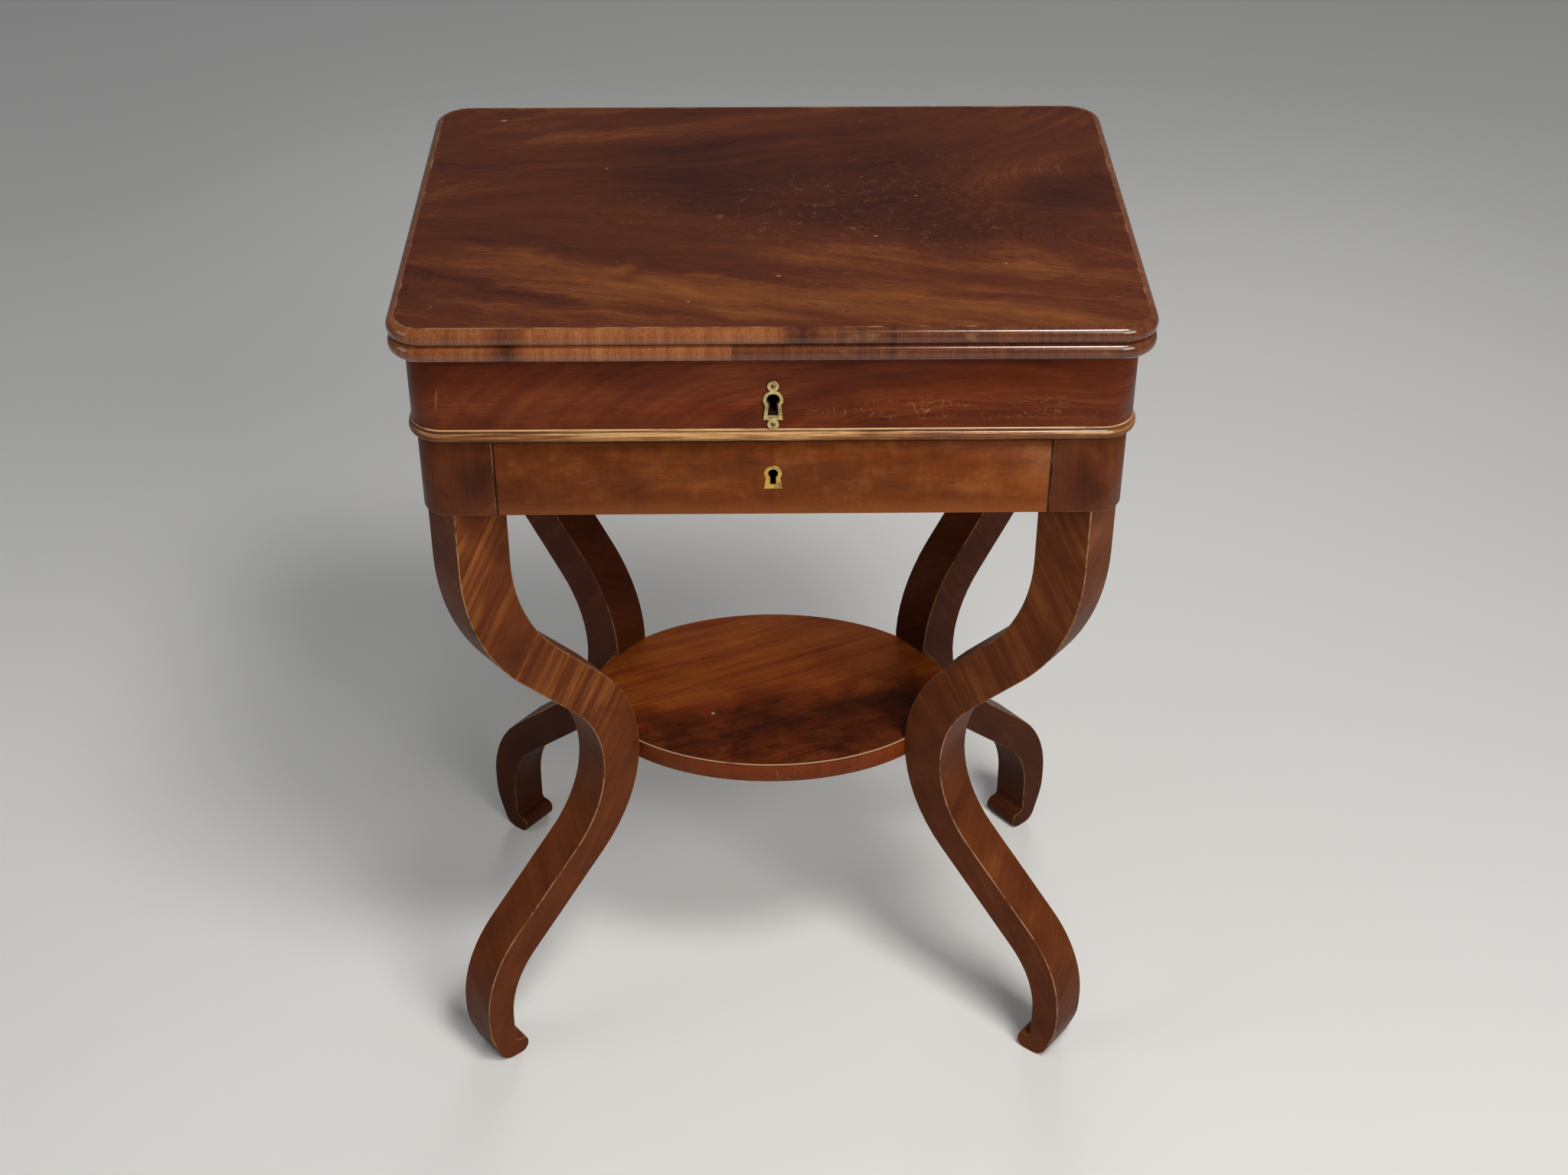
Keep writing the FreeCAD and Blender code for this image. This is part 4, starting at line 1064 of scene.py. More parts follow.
@dataclass(frozen=True)
class ShelfVeneer(Finish):
    """Slanting stripes on the shelf, darker towards the front, with a pale worn rim."""

    name: str
    timber: Timber = Timber((0.036, 0.0080, 0.0034), (0.205, 0.0380, 0.0058), (0.400, 0.1050, 0.0135), 0.30)
    polish: Polish = Polish(roughness=0.34, specular=0.08, coat=0.02, worn=(0.46, 0.30, 0.16))
    half_length: float = 0.155
    half_depth: float = 0.108
    top: float = 0.281
    slant: float = 23.6
    lean: float = 0.20
    nick: Nick = Nick((-0.0504, -0.038), 0.0016)

    def paint(self, board: FinishBoard) -> None:
        """Build the material on a board.

        Args:
            board: Board of the material.
        """
        place = board.place()
        x, y, z = board.axes(place)
        grain = board.stretched(place, 1.0, self.slant)
        stripes = board.swing(grain, (0.15, 0.0110, 0.1), 3.0, 0.3)
        fine = board.swing(grain, (0.10, 0.0032, 0.1), 2.0)
        clouds = board.swing(place, (0.040, 0.030, 0.1), 3.0, 0.4)
        blots = board.swing(place, (0.014, 0.010, 0.1), 2.0, 0.6)
        back = board.span(y - x * self.lean + clouds * 0.05, -0.050, 0.008)
        tone = 0.12 + clouds * 0.45 + stripes * (0.15 + back * 0.65) + fine * (0.10 + back * 0.30)
        tone = tone + back * 0.52 + blots * (1.0 - back) * 0.30 + (z < self.top - 0.002) * 0.25
        wood, pores = self.timber.colour(board, tone, grain)
        over_x, over_y = x / self.half_length, y / self.half_depth
        ring = board.math("SQRT", over_x * over_x + over_y * over_y)
        rim = board.span(ring, 0.990, 0.995) * board.span(z, self.top - 0.0012, self.top - 0.0006)
        rubbed = board.noise(place, 0.03, 4.0)
        worn_rim = rim * board.span(rubbed + board.span(y, 0.02, -0.06) * 0.22, 0.44, 0.62) * 0.75
        hairs = board.hairlines(grain, (0.03, 0.006, 0.1), 0.008) * board.span(clouds, 0.0, 0.1) * 0.18
        wear = worn_rim.most(self.nick.mark(x, y)).most(hairs)
        self.polish.lay(board, wood, grain, wear, pores)


@dataclass(frozen=True)
class CarcaseWood(Finish):
    """Plain wood of the hidden pieces, with long grain and a little dust."""

    name: str
    way: Grain
    timber: Timber = Timber((0.15, 0.080, 0.034), (0.27, 0.160, 0.075), (0.40, 0.265, 0.140), 0.35, 0.25)
    dust_colour: Colour = (0.33, 0.27, 0.20)
    relief: float = 0.00018

    def paint(self, board: FinishBoard) -> None:
        """Build the material on a board.

        Args:
            board: Board of the material.
        """
        grain = along_grain(board, self.way)
        rings = board.noise(grain, (0.22, 0.007, 0.011), 3.0, 0.5)
        clouds = board.noise(grain, (0.08, 0.05, 0.05))
        wood, pores = self.timber.colour(board, rings * 0.7 + clouds * 0.3, grain)
        saw = board.noise(grain, (0.004, 0.05, 0.05), 1.0)
        dust = board.span(board.noise(grain, 0.05, 3.0), 0.5, 0.75)
        board.surface({
            "Base Color": board.mix(dust * 0.18, wood, self.dust_colour),
            "Roughness": 0.58 + clouds * 0.22,
            "Normal": board.bump(saw * 0.4 - pores * 0.5 + rings * 0.3, self.relief),
            "Specular IOR Level": 0.3,
        })


@dataclass(frozen=True)
class LiningLeather(Finish):
    """Dark green skiver with two tooled lines near its edge."""

    name: str
    colour: Colour = (0.018, 0.040, 0.024)
    faded: Colour = (0.038, 0.062, 0.036)
    creased: Colour = (0.008, 0.014, 0.009)
    gilt: Colour = (0.46, 0.32, 0.12)
    half_width: float = 0.2305
    half_depth: float = 0.1515
    wide_line: float = 0.0105
    thin_line: float = 0.0145
    relief: float = 0.0003

    def paint(self, board: FinishBoard) -> None:
        """Build the material on a board.

        Args:
            board: Board of the material.
        """
        place = board.place()
        x, y, _ = board.axes(place)
        edge = (self.half_width - abs(x)).least(self.half_depth - abs(y))
        wide = board.span(abs(edge - self.wide_line), 0.0011, 0.0008)
        thin = board.span(abs(edge - self.thin_line), 0.0005, 0.0003)
        line = wide.most(thin)
        rubbed = board.noise(place, 0.05, 4.0)
        cell = board.cells(place, (0.0011, 0.0011, 0.01))
        creases = board.noise(place, (0.004, 0.003, 0.01), 3.0)
        leather = board.mix(board.span(rubbed, 0.35, 0.72), self.colour, self.faded)
        leather = board.mix(board.span(creases, 0.45, 0.30) * 0.5, leather, self.creased)
        gold = line * board.span(rubbed, 0.66, 0.50)
        board.surface({
            "Base Color": board.mix(gold * 0.9, leather, self.gilt),
            "Roughness": 0.62 - gold * 0.25 + (rubbed - 0.5) * 0.2,
            "Metallic": gold * 0.8,
            "Normal": board.bump(cell * 0.5 + creases * 0.3 - line * 0.6, self.relief),
            "Specular IOR Level": 0.35,
        })


class MetalWear(Enum):
    """Colours of a metal: bright where it is rubbed, and its tarnish."""

    PALE_BRASS = ((0.64, 0.50, 0.22), (0.20, 0.13, 0.045))
    GOLDEN_BRASS = ((0.68, 0.43, 0.105), (0.20, 0.11, 0.028))
    DULL_BRASS = ((0.36, 0.25, 0.090), (0.075, 0.048, 0.020))
    DARK_BRASS = ((0.16, 0.11, 0.045), (0.030, 0.020, 0.010))
    IRON = ((0.20, 0.19, 0.18), (0.055, 0.040, 0.030))


@dataclass(frozen=True)
class OldMetal(Finish):
    """Handled metal with tarnish in its hollows, fine scratches and small pits."""

    name: str
    wear: MetalWear
    roughness: float = 0.34
    relief: float = 0.00012

    def paint(self, board: FinishBoard) -> None:
        """Build the material on a board.

        Args:
            board: Board of the material.
        """
        place = board.place()
        bright, tarnish = self.wear.value
        clouds = board.noise(place, 0.008, 4.0, 0.3)
        grime = board.noise(place, 0.0022, 3.0)
        lines = board.noise(place, (0.006, 0.0006, 0.0004), 2.0, 0.0, 35.0)
        pits = board.specks(place, 0.0016, 0.18, 0.25)
        rubbed = board.mark(ARRIS)
        dull = board.span(clouds * 0.6 + grime * 0.4 - rubbed * 0.18, 0.44, 0.66)
        board.surface({
            "Base Color": board.mix(dull.most(pits * 0.8), bright, tarnish),
            "Metallic": 0.92 - dull * 0.35,
            "Roughness": self.roughness + dull * 0.24 + (lines - 0.5) * 0.14,
            "Normal": board.bump(lines * 0.35 + grime * 0.35 - pits * 0.6, self.relief),
        })


@dataclass(frozen=True)
class StudioFloor(Finish):
    """Plain pale floor with a faint cloud in it, which throws back less light than it shows."""

    name: str
    colour: Colour = (0.76, 0.755, 0.74)
    thrown_back: float = 0.66
    cloud_shade: float = 0.94

    def paint(self, board: FinishBoard) -> None:
        """Build the material on a board.

        Args:
            board: Board of the material.
        """
        cloud = board.noise(board.place(), 0.8, 3.0)
        darker = tuple(part * self.cloud_shade for part in self.colour)
        dim = tuple(part * self.thrown_back for part in self.colour)
        ray = board.node("ShaderNodeLightPath", out="Is Camera Ray")
        seen = ray.most(ray.output("Is Glossy Ray")).most(ray.output("Is Transmission Ray"))
        board.surface({
            "Base Color": board.mix(seen, dim, board.mix(cloud, self.colour, darker)),
            "Roughness": 0.85,
            "Specular IOR Level": 0.1,
        })


LEAF = LeafVeneer("flame_veneer")
UPPER_VENEER = FriezeVeneer(
    "upper_frieze_veneer", UPPER_OUTLINE,
    Timber((0.050, 0.0084, 0.0020), (0.118, 0.0208, 0.0045), (0.205, 0.0490, 0.0120)))
RAIL_VENEER = FriezeVeneer(
    "rail_veneer", LOWER_OUTLINE,
    Timber((0.042, 0.0090, 0.0030), (0.104, 0.0235, 0.0065), (0.180, 0.0500, 0.0150)), (0.1, 0.56))
DRAWER_FACE = DrawerVeneer("drawer_veneer")
BLOCK = BlockVeneer("corner_veneer")
BEAD = BeadWood("bead_wood")
LEG = LegVeneer("leg_veneer")
# Painted shade: a darker copy of the leg veneer for the back legs, which stand in the case's shade.
SHADED_BACK_LEG = LegVeneer(
    "back_leg_veneer",
    Timber((0.024, 0.0058, 0.0024), (0.068, 0.0170, 0.0052), (0.140, 0.0440, 0.0110), 0.30))
SHELF = ShelfVeneer("shelf_veneer")
CARCASE_LONG = CarcaseWood("carcase_long_grain", Grain.LENGTH)
CARCASE_DEEP = CarcaseWood("carcase_deep_grain", Grain.DEPTH)
LINING = LiningLeather("lining_leather")
PALE_BRASS = OldMetal("pale_brass", MetalWear.PALE_BRASS)
GOLDEN_BRASS = OldMetal("golden_brass", MetalWear.GOLDEN_BRASS)
DULL_BRASS = OldMetal("dull_brass", MetalWear.DULL_BRASS, 0.42)
DARK_BRASS = OldMetal("dark_brass", MetalWear.DARK_BRASS, 0.30)
IRON = OldMetal("old_iron", MetalWear.IRON, 0.48)


# Pieces

class Slot(Enum):
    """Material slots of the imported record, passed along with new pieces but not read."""

    VENEER = "mahogany_veneer"
    LEG = "mahogany_leg"
    CARCASE = "carcase_wood"
    BRASS = "brass"
    IRON = "iron"


def put(name: str, data: bpy.types.ID) -> bpy.types.Object:
    """Object in the scene, at the origin, that holds a mesh or other data."""
    made = bpy.data.objects.new(name, data)
    bpy.context.scene.collection.objects.link(made)
    return made


def plain_mesh(holder: bpy.types.Object) -> bpy.types.Mesh:
    """Mesh of an object with its modifiers applied; the object itself goes.

    Args:
        holder: Object with modifiers.

    Returns:
        A new plain mesh.
    """
    graph = bpy.context.evaluated_depsgraph_get()
    done = holder.evaluated_get(graph)
    made = bpy.data.meshes.new_from_object(done, preserve_all_data_layers=True, depsgraph=graph)
    holder.modifiers.clear()
    bpy.data.objects.remove(holder)
    return made


def dress(finish: Finish, *nodes: str) -> None:
    """Give CAD nodes, whose shape stays, their finish.

    Args:
        finish: Finish of the nodes.
        nodes: Names of the nodes.
    """
    for name in nodes:
        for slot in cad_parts[name].material_slots:
            slot.material = finish.material()
        LOG.info("%s: solid kept, finish %s", name, finish.name)


def stand_for(name: str, mesh: bpy.types.Mesh, finish: Finish, slot: Slot, nodes: Sequence[str] = (),
              body: str = "case") -> None:
    """Make a mesh a piece of the table.

    Args:
        name: Name of the piece.
        mesh: Mesh in its place.
        finish: Finish of the whole piece.
        slot: Slot of the record that the finish belongs to; not used.
        nodes: CAD nodes that the piece stands for.
        body: Body that the piece moves with.
    """
    mesh.name = name
    mesh.materials.clear()
    mesh.materials.append(finish.material())
    piece = put(name, mesh)
    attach(piece, body)
    if nodes:
        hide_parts(*nodes)
    LOG.info("%s: %d faces on %s, finish %s", name, len(mesh.polygons), body, finish.name)


def softened_mesh(node: str, width: float) -> bpy.types.Mesh:
    """Copy of a CAD node with its arrises rounded and marked.

    Args:
        node: Name of the node.
        width: Width of the rounding.

    Returns:
        The rounded mesh.
    """
    shape = bmesh.new()
    shape.from_mesh(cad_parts[node].data)
    bmesh.ops.remove_doubles(shape, verts=shape.verts, dist=MERGE_DISTANCE)
    bmesh.ops.dissolve_limit(shape, angle_limit=FLAT_ANGLE, verts=shape.verts, edges=shape.edges)
    for face in shape.faces:
        face.smooth = True
        face.material_index = 0
    mesh = bpy.data.meshes.new(node)
    shape.to_mesh(mesh)
    shape.free()
    for _ in ("face", "arris"):
        mesh.materials.append(None)
    holder = put(f"{node}_holder", mesh)
    bevel = holder.modifiers.new("arris", "BEVEL")
    bevel.width = width
    bevel.segments = ARRIS_SEGMENTS
    bevel.limit_method = "ANGLE"
    bevel.angle_limit = ARRIS_ANGLE
    bevel.harden_normals = True
    bevel.material = 1
    made = plain_mesh(holder)
    mark_arrises(made)
    return made


def mark_arrises(mesh: bpy.types.Mesh) -> None:
    """Turn the second material index of a mesh into the mark of its arrises.

    Args:
        mesh: Mesh whose rounded faces have the index 1.
    """
    flags = [float(face.material_index) for face in mesh.polygons]
    mark = mesh.attributes.new(ARRIS, "FLOAT", "FACE")
    mark.data.foreach_set("value", flags)
    mesh.polygons.foreach_set("material_index", [0] * len(flags))


def soften(finish: Finish, slot: Slot, width: float, *nodes: str, body: str = "case") -> None:
    """Replace CAD nodes with copies that have rounded arrises.

    Args:
        finish: Finish of the pieces.
        slot: Slot of the record.
        width: Width of the rounding.
        nodes: Names of the nodes.
        body: Body that they move with.
    """
    for node in nodes:
        stand_for(f"{node}_piece", softened_mesh(node, width), finish, slot, [node], body)


def point_mesh(name: str, points: Sequence[tuple[Point, Point]]) -> bpy.types.Mesh:
    """Loose points, each with the way that it faces.

    Args:
        name: Name of the mesh.
        points: Place and facing of each point.

    Returns:
        The mesh, which carries the facings.
    """
    mesh = bpy.data.meshes.new(name)
    mesh.from_pydata([place for place, facing in points], [], [])
    ways = mesh.attributes.new(FACING, "FLOAT_VECTOR", "POINT")
    ways.data.foreach_set("vector", [part for place, facing in points for part in facing])
    return mesh


class Head(Enum):
    """Heads of the small fasteners."""

    SLOTTED = "slotted"
    DOMED = "domed"


@dataclass(frozen=True)
class Fastener:
    """Kind of screw or pin: its head, and how far that stands above its plate."""

    head: Head
    radius: float
    rise: float
    finish: Finish


HINGE_SCREW = Fastener(Head.SLOTTED, 0.0027, 0.0001, DULL_BRASS)
STRIKE_SCREW = Fastener(Head.SLOTTED, 0.0021, 0.0001, DULL_BRASS)
LOCK_SCREW = Fastener(Head.SLOTTED, 0.0025, 0.0002, DULL_BRASS)
ESCUTCHEON_PIN = Fastener(Head.DOMED, 0.0017, 0.0010, DARK_BRASS)


@dataclass
class Fasteners:
    """Screws or pins of one kind, set on points."""

    name: str
    kind: Fastener
    body: str
    points: list[tuple[Point, Point]]
    seed: int
    nodes: tuple[str, ...] = ()

    head_sides: ClassVar[int] = 24
    head_depth: ClassVar[float] = 5.0
    slot_length: ClassVar[float] = 3.0
    slot_width: ClassVar[float] = 0.26
    slot_depth: ClassVar[float] = 3.0
    dome_sides: ClassVar[int] = 28
    dome_rings: ClassVar[int] = 14

    def build(self) -> None:
        """Make the fasteners and put them on their body."""
        jig = Jig(self.name)
        radius = jig.input("Head Radius", "Float", self.kind.radius)
        rise = jig.input("Rise", "Float", self.kind.rise)
        seed = jig.input("Seed", "Int", self.seed)
        make_head = self._slotted if self.kind.head is Head.SLOTTED else self._domed
        head = make_head(jig, radius, rise)
        facing = jig.node("GeometryNodeInputNamedAttribute", {"data_type": "FLOAT_VECTOR"}, {"Name": FACING})
        upright = jig.node("FunctionNodeAlignRotationToVector", {"axis": "Z"}, {"Vector": facing})
        spin = jig.node("FunctionNodeRandomValue", {"data_type": "FLOAT"}, {"Seed": seed}, 1)
        about = jig.node("FunctionNodeAxisAngleToRotation", None, {"Axis": UP, "Angle": spin * math.tau})
        turned = jig.node("FunctionNodeRotateRotation", {"rotation_space": "LOCAL"},
                          {"Rotation": upright, "Rotate By": about})
        placed = jig.node("GeometryNodeInstanceOnPoints", None,
                          {"Points": jig.points(), "Instance": head, "Rotation": turned})
        jig.end(placed, self.kind.finish)
        made = jig.run(point_mesh(f"{self.name}_points", self.points))
        stand_for(self.name, made, self.kind.finish, Slot.BRASS, self.nodes, self.body)

    def _slotted(self, jig: Jig, radius: Wire, rise: Wire) -> Wire:
        """Flat head with a slot across it.

        Args:
            jig: Tree to build in.
            radius: Radius of the head.
            rise: Height of the head above its plate.

        Returns:
            The head, facing up.
        """
        depth = rise * self.head_depth
        disc = jig.node("GeometryNodeMeshCylinder", None,
                        {"Vertices": self.head_sides, "Radius": radius, "Depth": depth}, "Mesh")
        size = jig.node("ShaderNodeCombineXYZ", None, {
            0: radius * self.slot_length, 1: radius * self.slot_width, 2: rise * self.slot_depth})
        bar = jig.node("GeometryNodeMeshCube", None, {"Size": size}, "Mesh")
        up = jig.node("ShaderNodeCombineXYZ", None, {2: depth * 0.5})
        cutter = jig.node("GeometryNodeTransform", None, {"Geometry": bar, "Translation": up})
        cut = jig.node("GeometryNodeMeshBoolean", {"operation": "DIFFERENCE", "solver": "EXACT"},
                       {0: disc, 1: cutter})
        sink = jig.node("ShaderNodeCombineXYZ", None, {2: rise - depth * 0.5})
        return jig.node("GeometryNodeTransform", None, {"Geometry": cut, "Translation": sink})

    def _domed(self, jig: Jig, radius: Wire, rise: Wire) -> Wire:
        """Round head.

        Args:
            jig: Tree to build in.
            radius: Radius of the head.
            rise: Height of the head above its plate.

        Returns:
            The head, facing up.
        """
        ball = jig.node("GeometryNodeMeshUVSphere", None,
                        {"Segments": self.dome_sides, "Rings": self.dome_rings, "Radius": radius}, "Mesh")
        squash = jig.node("ShaderNodeCombineXYZ", None, {0: 1.0, 1: 1.0, 2: rise / radius})
        dome = jig.node("GeometryNodeTransform", None, {"Geometry": ball, "Scale": squash})
        return jig.node("GeometryNodeSetShadeSmooth", None, {"Geometry": dome})


@dataclass
class FoldOverTop:
    """Two leaves with their linings, hinges, pivot and strike plate."""

    hinge_reach: float = 0.1775
    hinge_screw_y: float = 0.1755
    hinge_screw_step: Flat = (0.0185, 0.005)
    strike_y: float = -0.147
    strike_reach: float = 0.0098
    underside: float = 0.714

    def build(self) -> None:
        """Dress the leaves and set the screws of their hinges and strike."""
        dress(LEAF, "upper_leaf", "lower_leaf")
        dress(LINING, "upper_lining", "lower_lining")
        for side in ("left", "right"):
            dress(DULL_BRASS, *(f"hinge_{side}_{part}" for part in ("lower_plate", "upper_plate", "pin")))
        dress(DULL_BRASS, "top_lock_strike")
        dress(IRON, "pivot_pin", "pivot_washer", "pivot_nut")
        dress(CARCASE_DEEP, "pivot_bearer")
        self._hinge_screws("lower_leaf", UP, 3)
        self._hinge_screws("upper_leaf", DOWN, 4)
        places = [((sign * self.strike_reach, self.strike_y, self.underside), DOWN) for sign in (-1, 1)]
        Fasteners("strike_screws", STRIKE_SCREW, "lower_leaf", places, 7).build()

    def _hinge_screws(self, body: str, facing: Point, seed: int) -> None:
        """Three screws in each hinge plate of a leaf.

        Args:
            body: Leaf that the plates are on.
            facing: Way that the screws face.
            seed: Seed of their turns.
        """
        places = []
        across, along = self.hinge_screw_step
        for sign in (-1, 1):
            for step in (-1, 0, 1):
                x = sign * self.hinge_reach + step * across
                y = self.hinge_screw_y + abs(step) * along
                places.append(((x, y, LEAF_JOINT), facing))
        Fasteners(f"{body}_hinge_screws", HINGE_SCREW, body, places, seed).build()


@dataclass
class UpperFrieze:
    """Boards round the well, its floor and the top's lock."""

    lock_back: float = -0.142
    lock_middle: float = 0.6925
    pin_levels: Flat = (0.6878, 0.6564)
    plate_face: float = -0.1798
    board_arris: float = 0.0006
    lock_arris: float = 0.0005
    plate_arris: float = 0.00045

    def build(self) -> None:
        """Make the boards, the lock and the escutcheon with its pins."""
        boards = [f"upper_frieze_{way}" for way in ("front", "back", "left", "right")]
        soften(UPPER_VENEER, Slot.VENEER, self.board_arris, *boards)
        dress(CARCASE_LONG, "well_floor")
        soften(IRON, Slot.IRON, self.lock_arris, "top_lock_case")
        dress(DULL_BRASS, "top_lock_bolt")
        lock_screws("top_lock_screws", "case", self.lock_back, self.lock_middle, 11)
        soften(PALE_BRASS, Slot.BRASS, self.plate_arris, "upper_escutcheon")
        places = [((0.0, self.plate_face, level), FORWARD) for level in self.pin_levels]
        pins = ("escutcheon_pin_top", "escutcheon_pin_foot")
        Fasteners("escutcheon_pins", ESCUTCHEON_PIN, "case", places, 5, pins).build()


LOCK_SCREW_REACH = (0.0185, 0.0165)


def lock_screws(name: str, body: str, back: float, middle: float, seed: int) -> None:
    """Four screws at the corners of a lock.

    Args:
        name: Name of the piece.
        body: Body that the lock is on.
        back: Depth of the lock's back.
        middle: Height of its middle.
        seed: Seed of their turns.
    """
    across, up = LOCK_SCREW_REACH
    places = [((x * across, back, middle + z * up), BACKWARD) for x in (-1, 1) for z in (-1, 1)]
    Fasteners(name, LOCK_SCREW, body, places, seed).build()


@dataclass
class BeadMoulding:
    """Bead with a small fillet, run round the case between the friezes."""

    half_width: float = 0.2535
    half_depth: float = 0.1685
    corner: float = 0.0155
    corner_points: int = 14
    width: float = 0.012
    round_height: float = 0.009
    nose_radius: float = 0.0042
    nose_steps: int = 8
    shoulder_angle: float = 56.0
    shoulder_steps: int = 5
    fillet_height: float = 0.002
    fillet_setback: float = 0.0018
    fillet_round: float = 0.0004
    groove: Flat = (0.0007, 0.0001)
    nodes: tuple[str, ...] = ("bead_front", "bead_back", "bead_left", "bead_right")

    def build(self) -> None:
        """Sweep the section round the case."""
        section = self._section()
        jig = Jig("bead_moulding")
        width = jig.input("Width", "Float", 2.0 * self.half_width)
        depth = jig.input("Depth", "Float", 2.0 * self.half_depth)
        corner = jig.input("Corner Radius", "Float", self.corner)
        profile = jig.input("Section", "Object", section)
        box = jig.node("GeometryNodeCurvePrimitiveQuadrilateral", {"mode": "RECTANGLE"},
                       {"Width": width, "Height": depth})
        path = jig.node("GeometryNodeFilletCurve", {"mode": "POLY"},
                        {"Curve": box, "Radius": corner, "Count": self.corner_points})
        shape = jig.node("GeometryNodeObjectInfo", {"transform_space": "ORIGINAL"},
                         {"Object": profile}, "Geometry")
        swept = jig.node("GeometryNodeCurveToMesh", None, {"Curve": path, "Profile Curve": shape})
        up = jig.node("GeometryNodeTransform", None,
                      {"Geometry": swept, "Translation": (0.0, 0.0, BEAD_FOOT)})
        smooth = jig.node("GeometryNodeSetShadeSmooth", None, {"Geometry": up})
        jig.end(smooth, BEAD)
        made = jig.run(bpy.data.meshes.new("bead_start"))
        bpy.data.objects.remove(section)
        outward(made)
        made.set_sharp_from_angle(angle=BEAD_SHARP_ANGLE)
        stand_for("bead_run", made, BEAD, Slot.VENEER, self.nodes)

    def _section(self) -> bpy.types.Object:
        """Closed section of the bead, which the sweep turns over: x is outward and -y is up from its foot.

        Returns:
            Curve object with the section.
        """
        centre_x = self.width - self.nose_radius
        points = [(0.0, 0.0), (centre_x, 0.0)]
        points += self._arc(centre_x, self.nose_radius, [
            90.0 * step / self.nose_steps - 90.0 for step in range(1, self.nose_steps + 1)])
        points += self._arc(centre_x, self.round_height - self.nose_radius, [
            self.shoulder_angle * step / self.shoulder_steps for step in range(self.shoulder_steps + 1)])
        fillet = self.width - self.fillet_setback
        top = self.round_height + self.fillet_height
        inset, lip = self.groove
        soft = self.fillet_round
        points += [(fillet - inset, self.round_height - soft), (fillet, self.round_height + lip),
                   (fillet, top - soft), (fillet - soft, top), (0.0, top)]
        curve = bpy.data.curves.new("bead_section", "CURVE")
        curve.dimensions = "2D"
        curve.fill_mode = "NONE"
        line = curve.splines.new("POLY")
        line.points.add(len(points) - 1)
        for point, (x, y) in zip(line.points, points):
            point.co = (x, -y, 0.0, 1.0)
        line.use_cyclic_u = True
        return put("bead_section", curve)

    def _arc(self, centre_x: float, centre_y: float, degrees: Sequence[float]) -> list[Flat]:
        """Points of the nose's round.

        Args:
            centre_x: Centre, outward.
            centre_y: Centre, up from the foot.
            degrees: Angles of the points.

        Returns:
            The points.
        """
        angles = [math.radians(angle) for angle in degrees]
        return [(centre_x + self.nose_radius * math.cos(angle), centre_y + self.nose_radius * math.sin(angle))
                for angle in angles]


def outward(mesh: bpy.types.Mesh) -> None:
    """Merge the doubles of a closed mesh and turn its faces outwards.

    Args:
        mesh: Mesh to mend.
    """
    shape = bmesh.new()
    shape.from_mesh(mesh)
    bmesh.ops.remove_doubles(shape, verts=shape.verts, dist=MERGE_DISTANCE)
    bmesh.ops.recalc_face_normals(shape, faces=shape.faces)
    shape.to_mesh(mesh)
    shape.free()


@dataclass
class LowerCase:
    """Corner blocks, rails and the strips that carry the drawer."""

    block_arris: float = 0.0008
    rail_arris: float = 0.0005

    def build(self) -> None:
        """Round the blocks and rails, and dress the strips."""
        corners = [f"corner_block_{end}_{side}" for end in ("front", "back") for side in ("left", "right")]
        soften(BLOCK, Slot.VENEER, self.block_arris, *corners)
        soften(RAIL_VENEER, Slot.VENEER, self.rail_arris, "side_rail_left", "side_rail_right", "back_rail")
        dress(CARCASE_LONG, "front_rail", "drawer_stop")
        strips = [f"drawer_{kind}_{side}" for kind in ("runner", "guide") for side in ("left", "right")]
        dress(CARCASE_DEEP, *strips)


@dataclass
class Drawer:
    """Dovetailed drawer with its lock and inlaid escutcheon."""

    lock_back: float = -0.145
    lock_middle: float = 0.619
    front_arris: float = 0.0006
    board_arris: float = 0.0004
    lock_arris: float = 0.0005
    plate_arris: float = 0.00025

    def build(self) -> None:
        """Round the front and the boards, and dress the lock."""
        body = "drawer"
        soften(DRAWER_FACE, Slot.VENEER, self.front_arris, "drawer_front", body=body)
        sides = ("drawer_side_left", "drawer_side_right")
        soften(CARCASE_DEEP, Slot.CARCASE, self.board_arris, *sides, body=body)
        soften(CARCASE_LONG, Slot.CARCASE, self.board_arris, "drawer_back", body=body)
        dress(CARCASE_LONG, "drawer_bottom")
        soften(IRON, Slot.IRON, self.lock_arris, "drawer_lock_case", body=body)
        dress(DULL_BRASS, "drawer_lock_bolt")
        lock_screws("drawer_lock_screws", body, self.lock_back, self.lock_middle, 13)
        soften(GOLDEN_BRASS, Slot.BRASS, self.plate_arris, "drawer_escutcheon", body=body)


@dataclass(frozen=True)
class RingPoint:
    """Point of a leg's section, and what the face after it is."""

    place: Vector
    depth: float
    arris: float = 0.0
    on_edge: bool = False


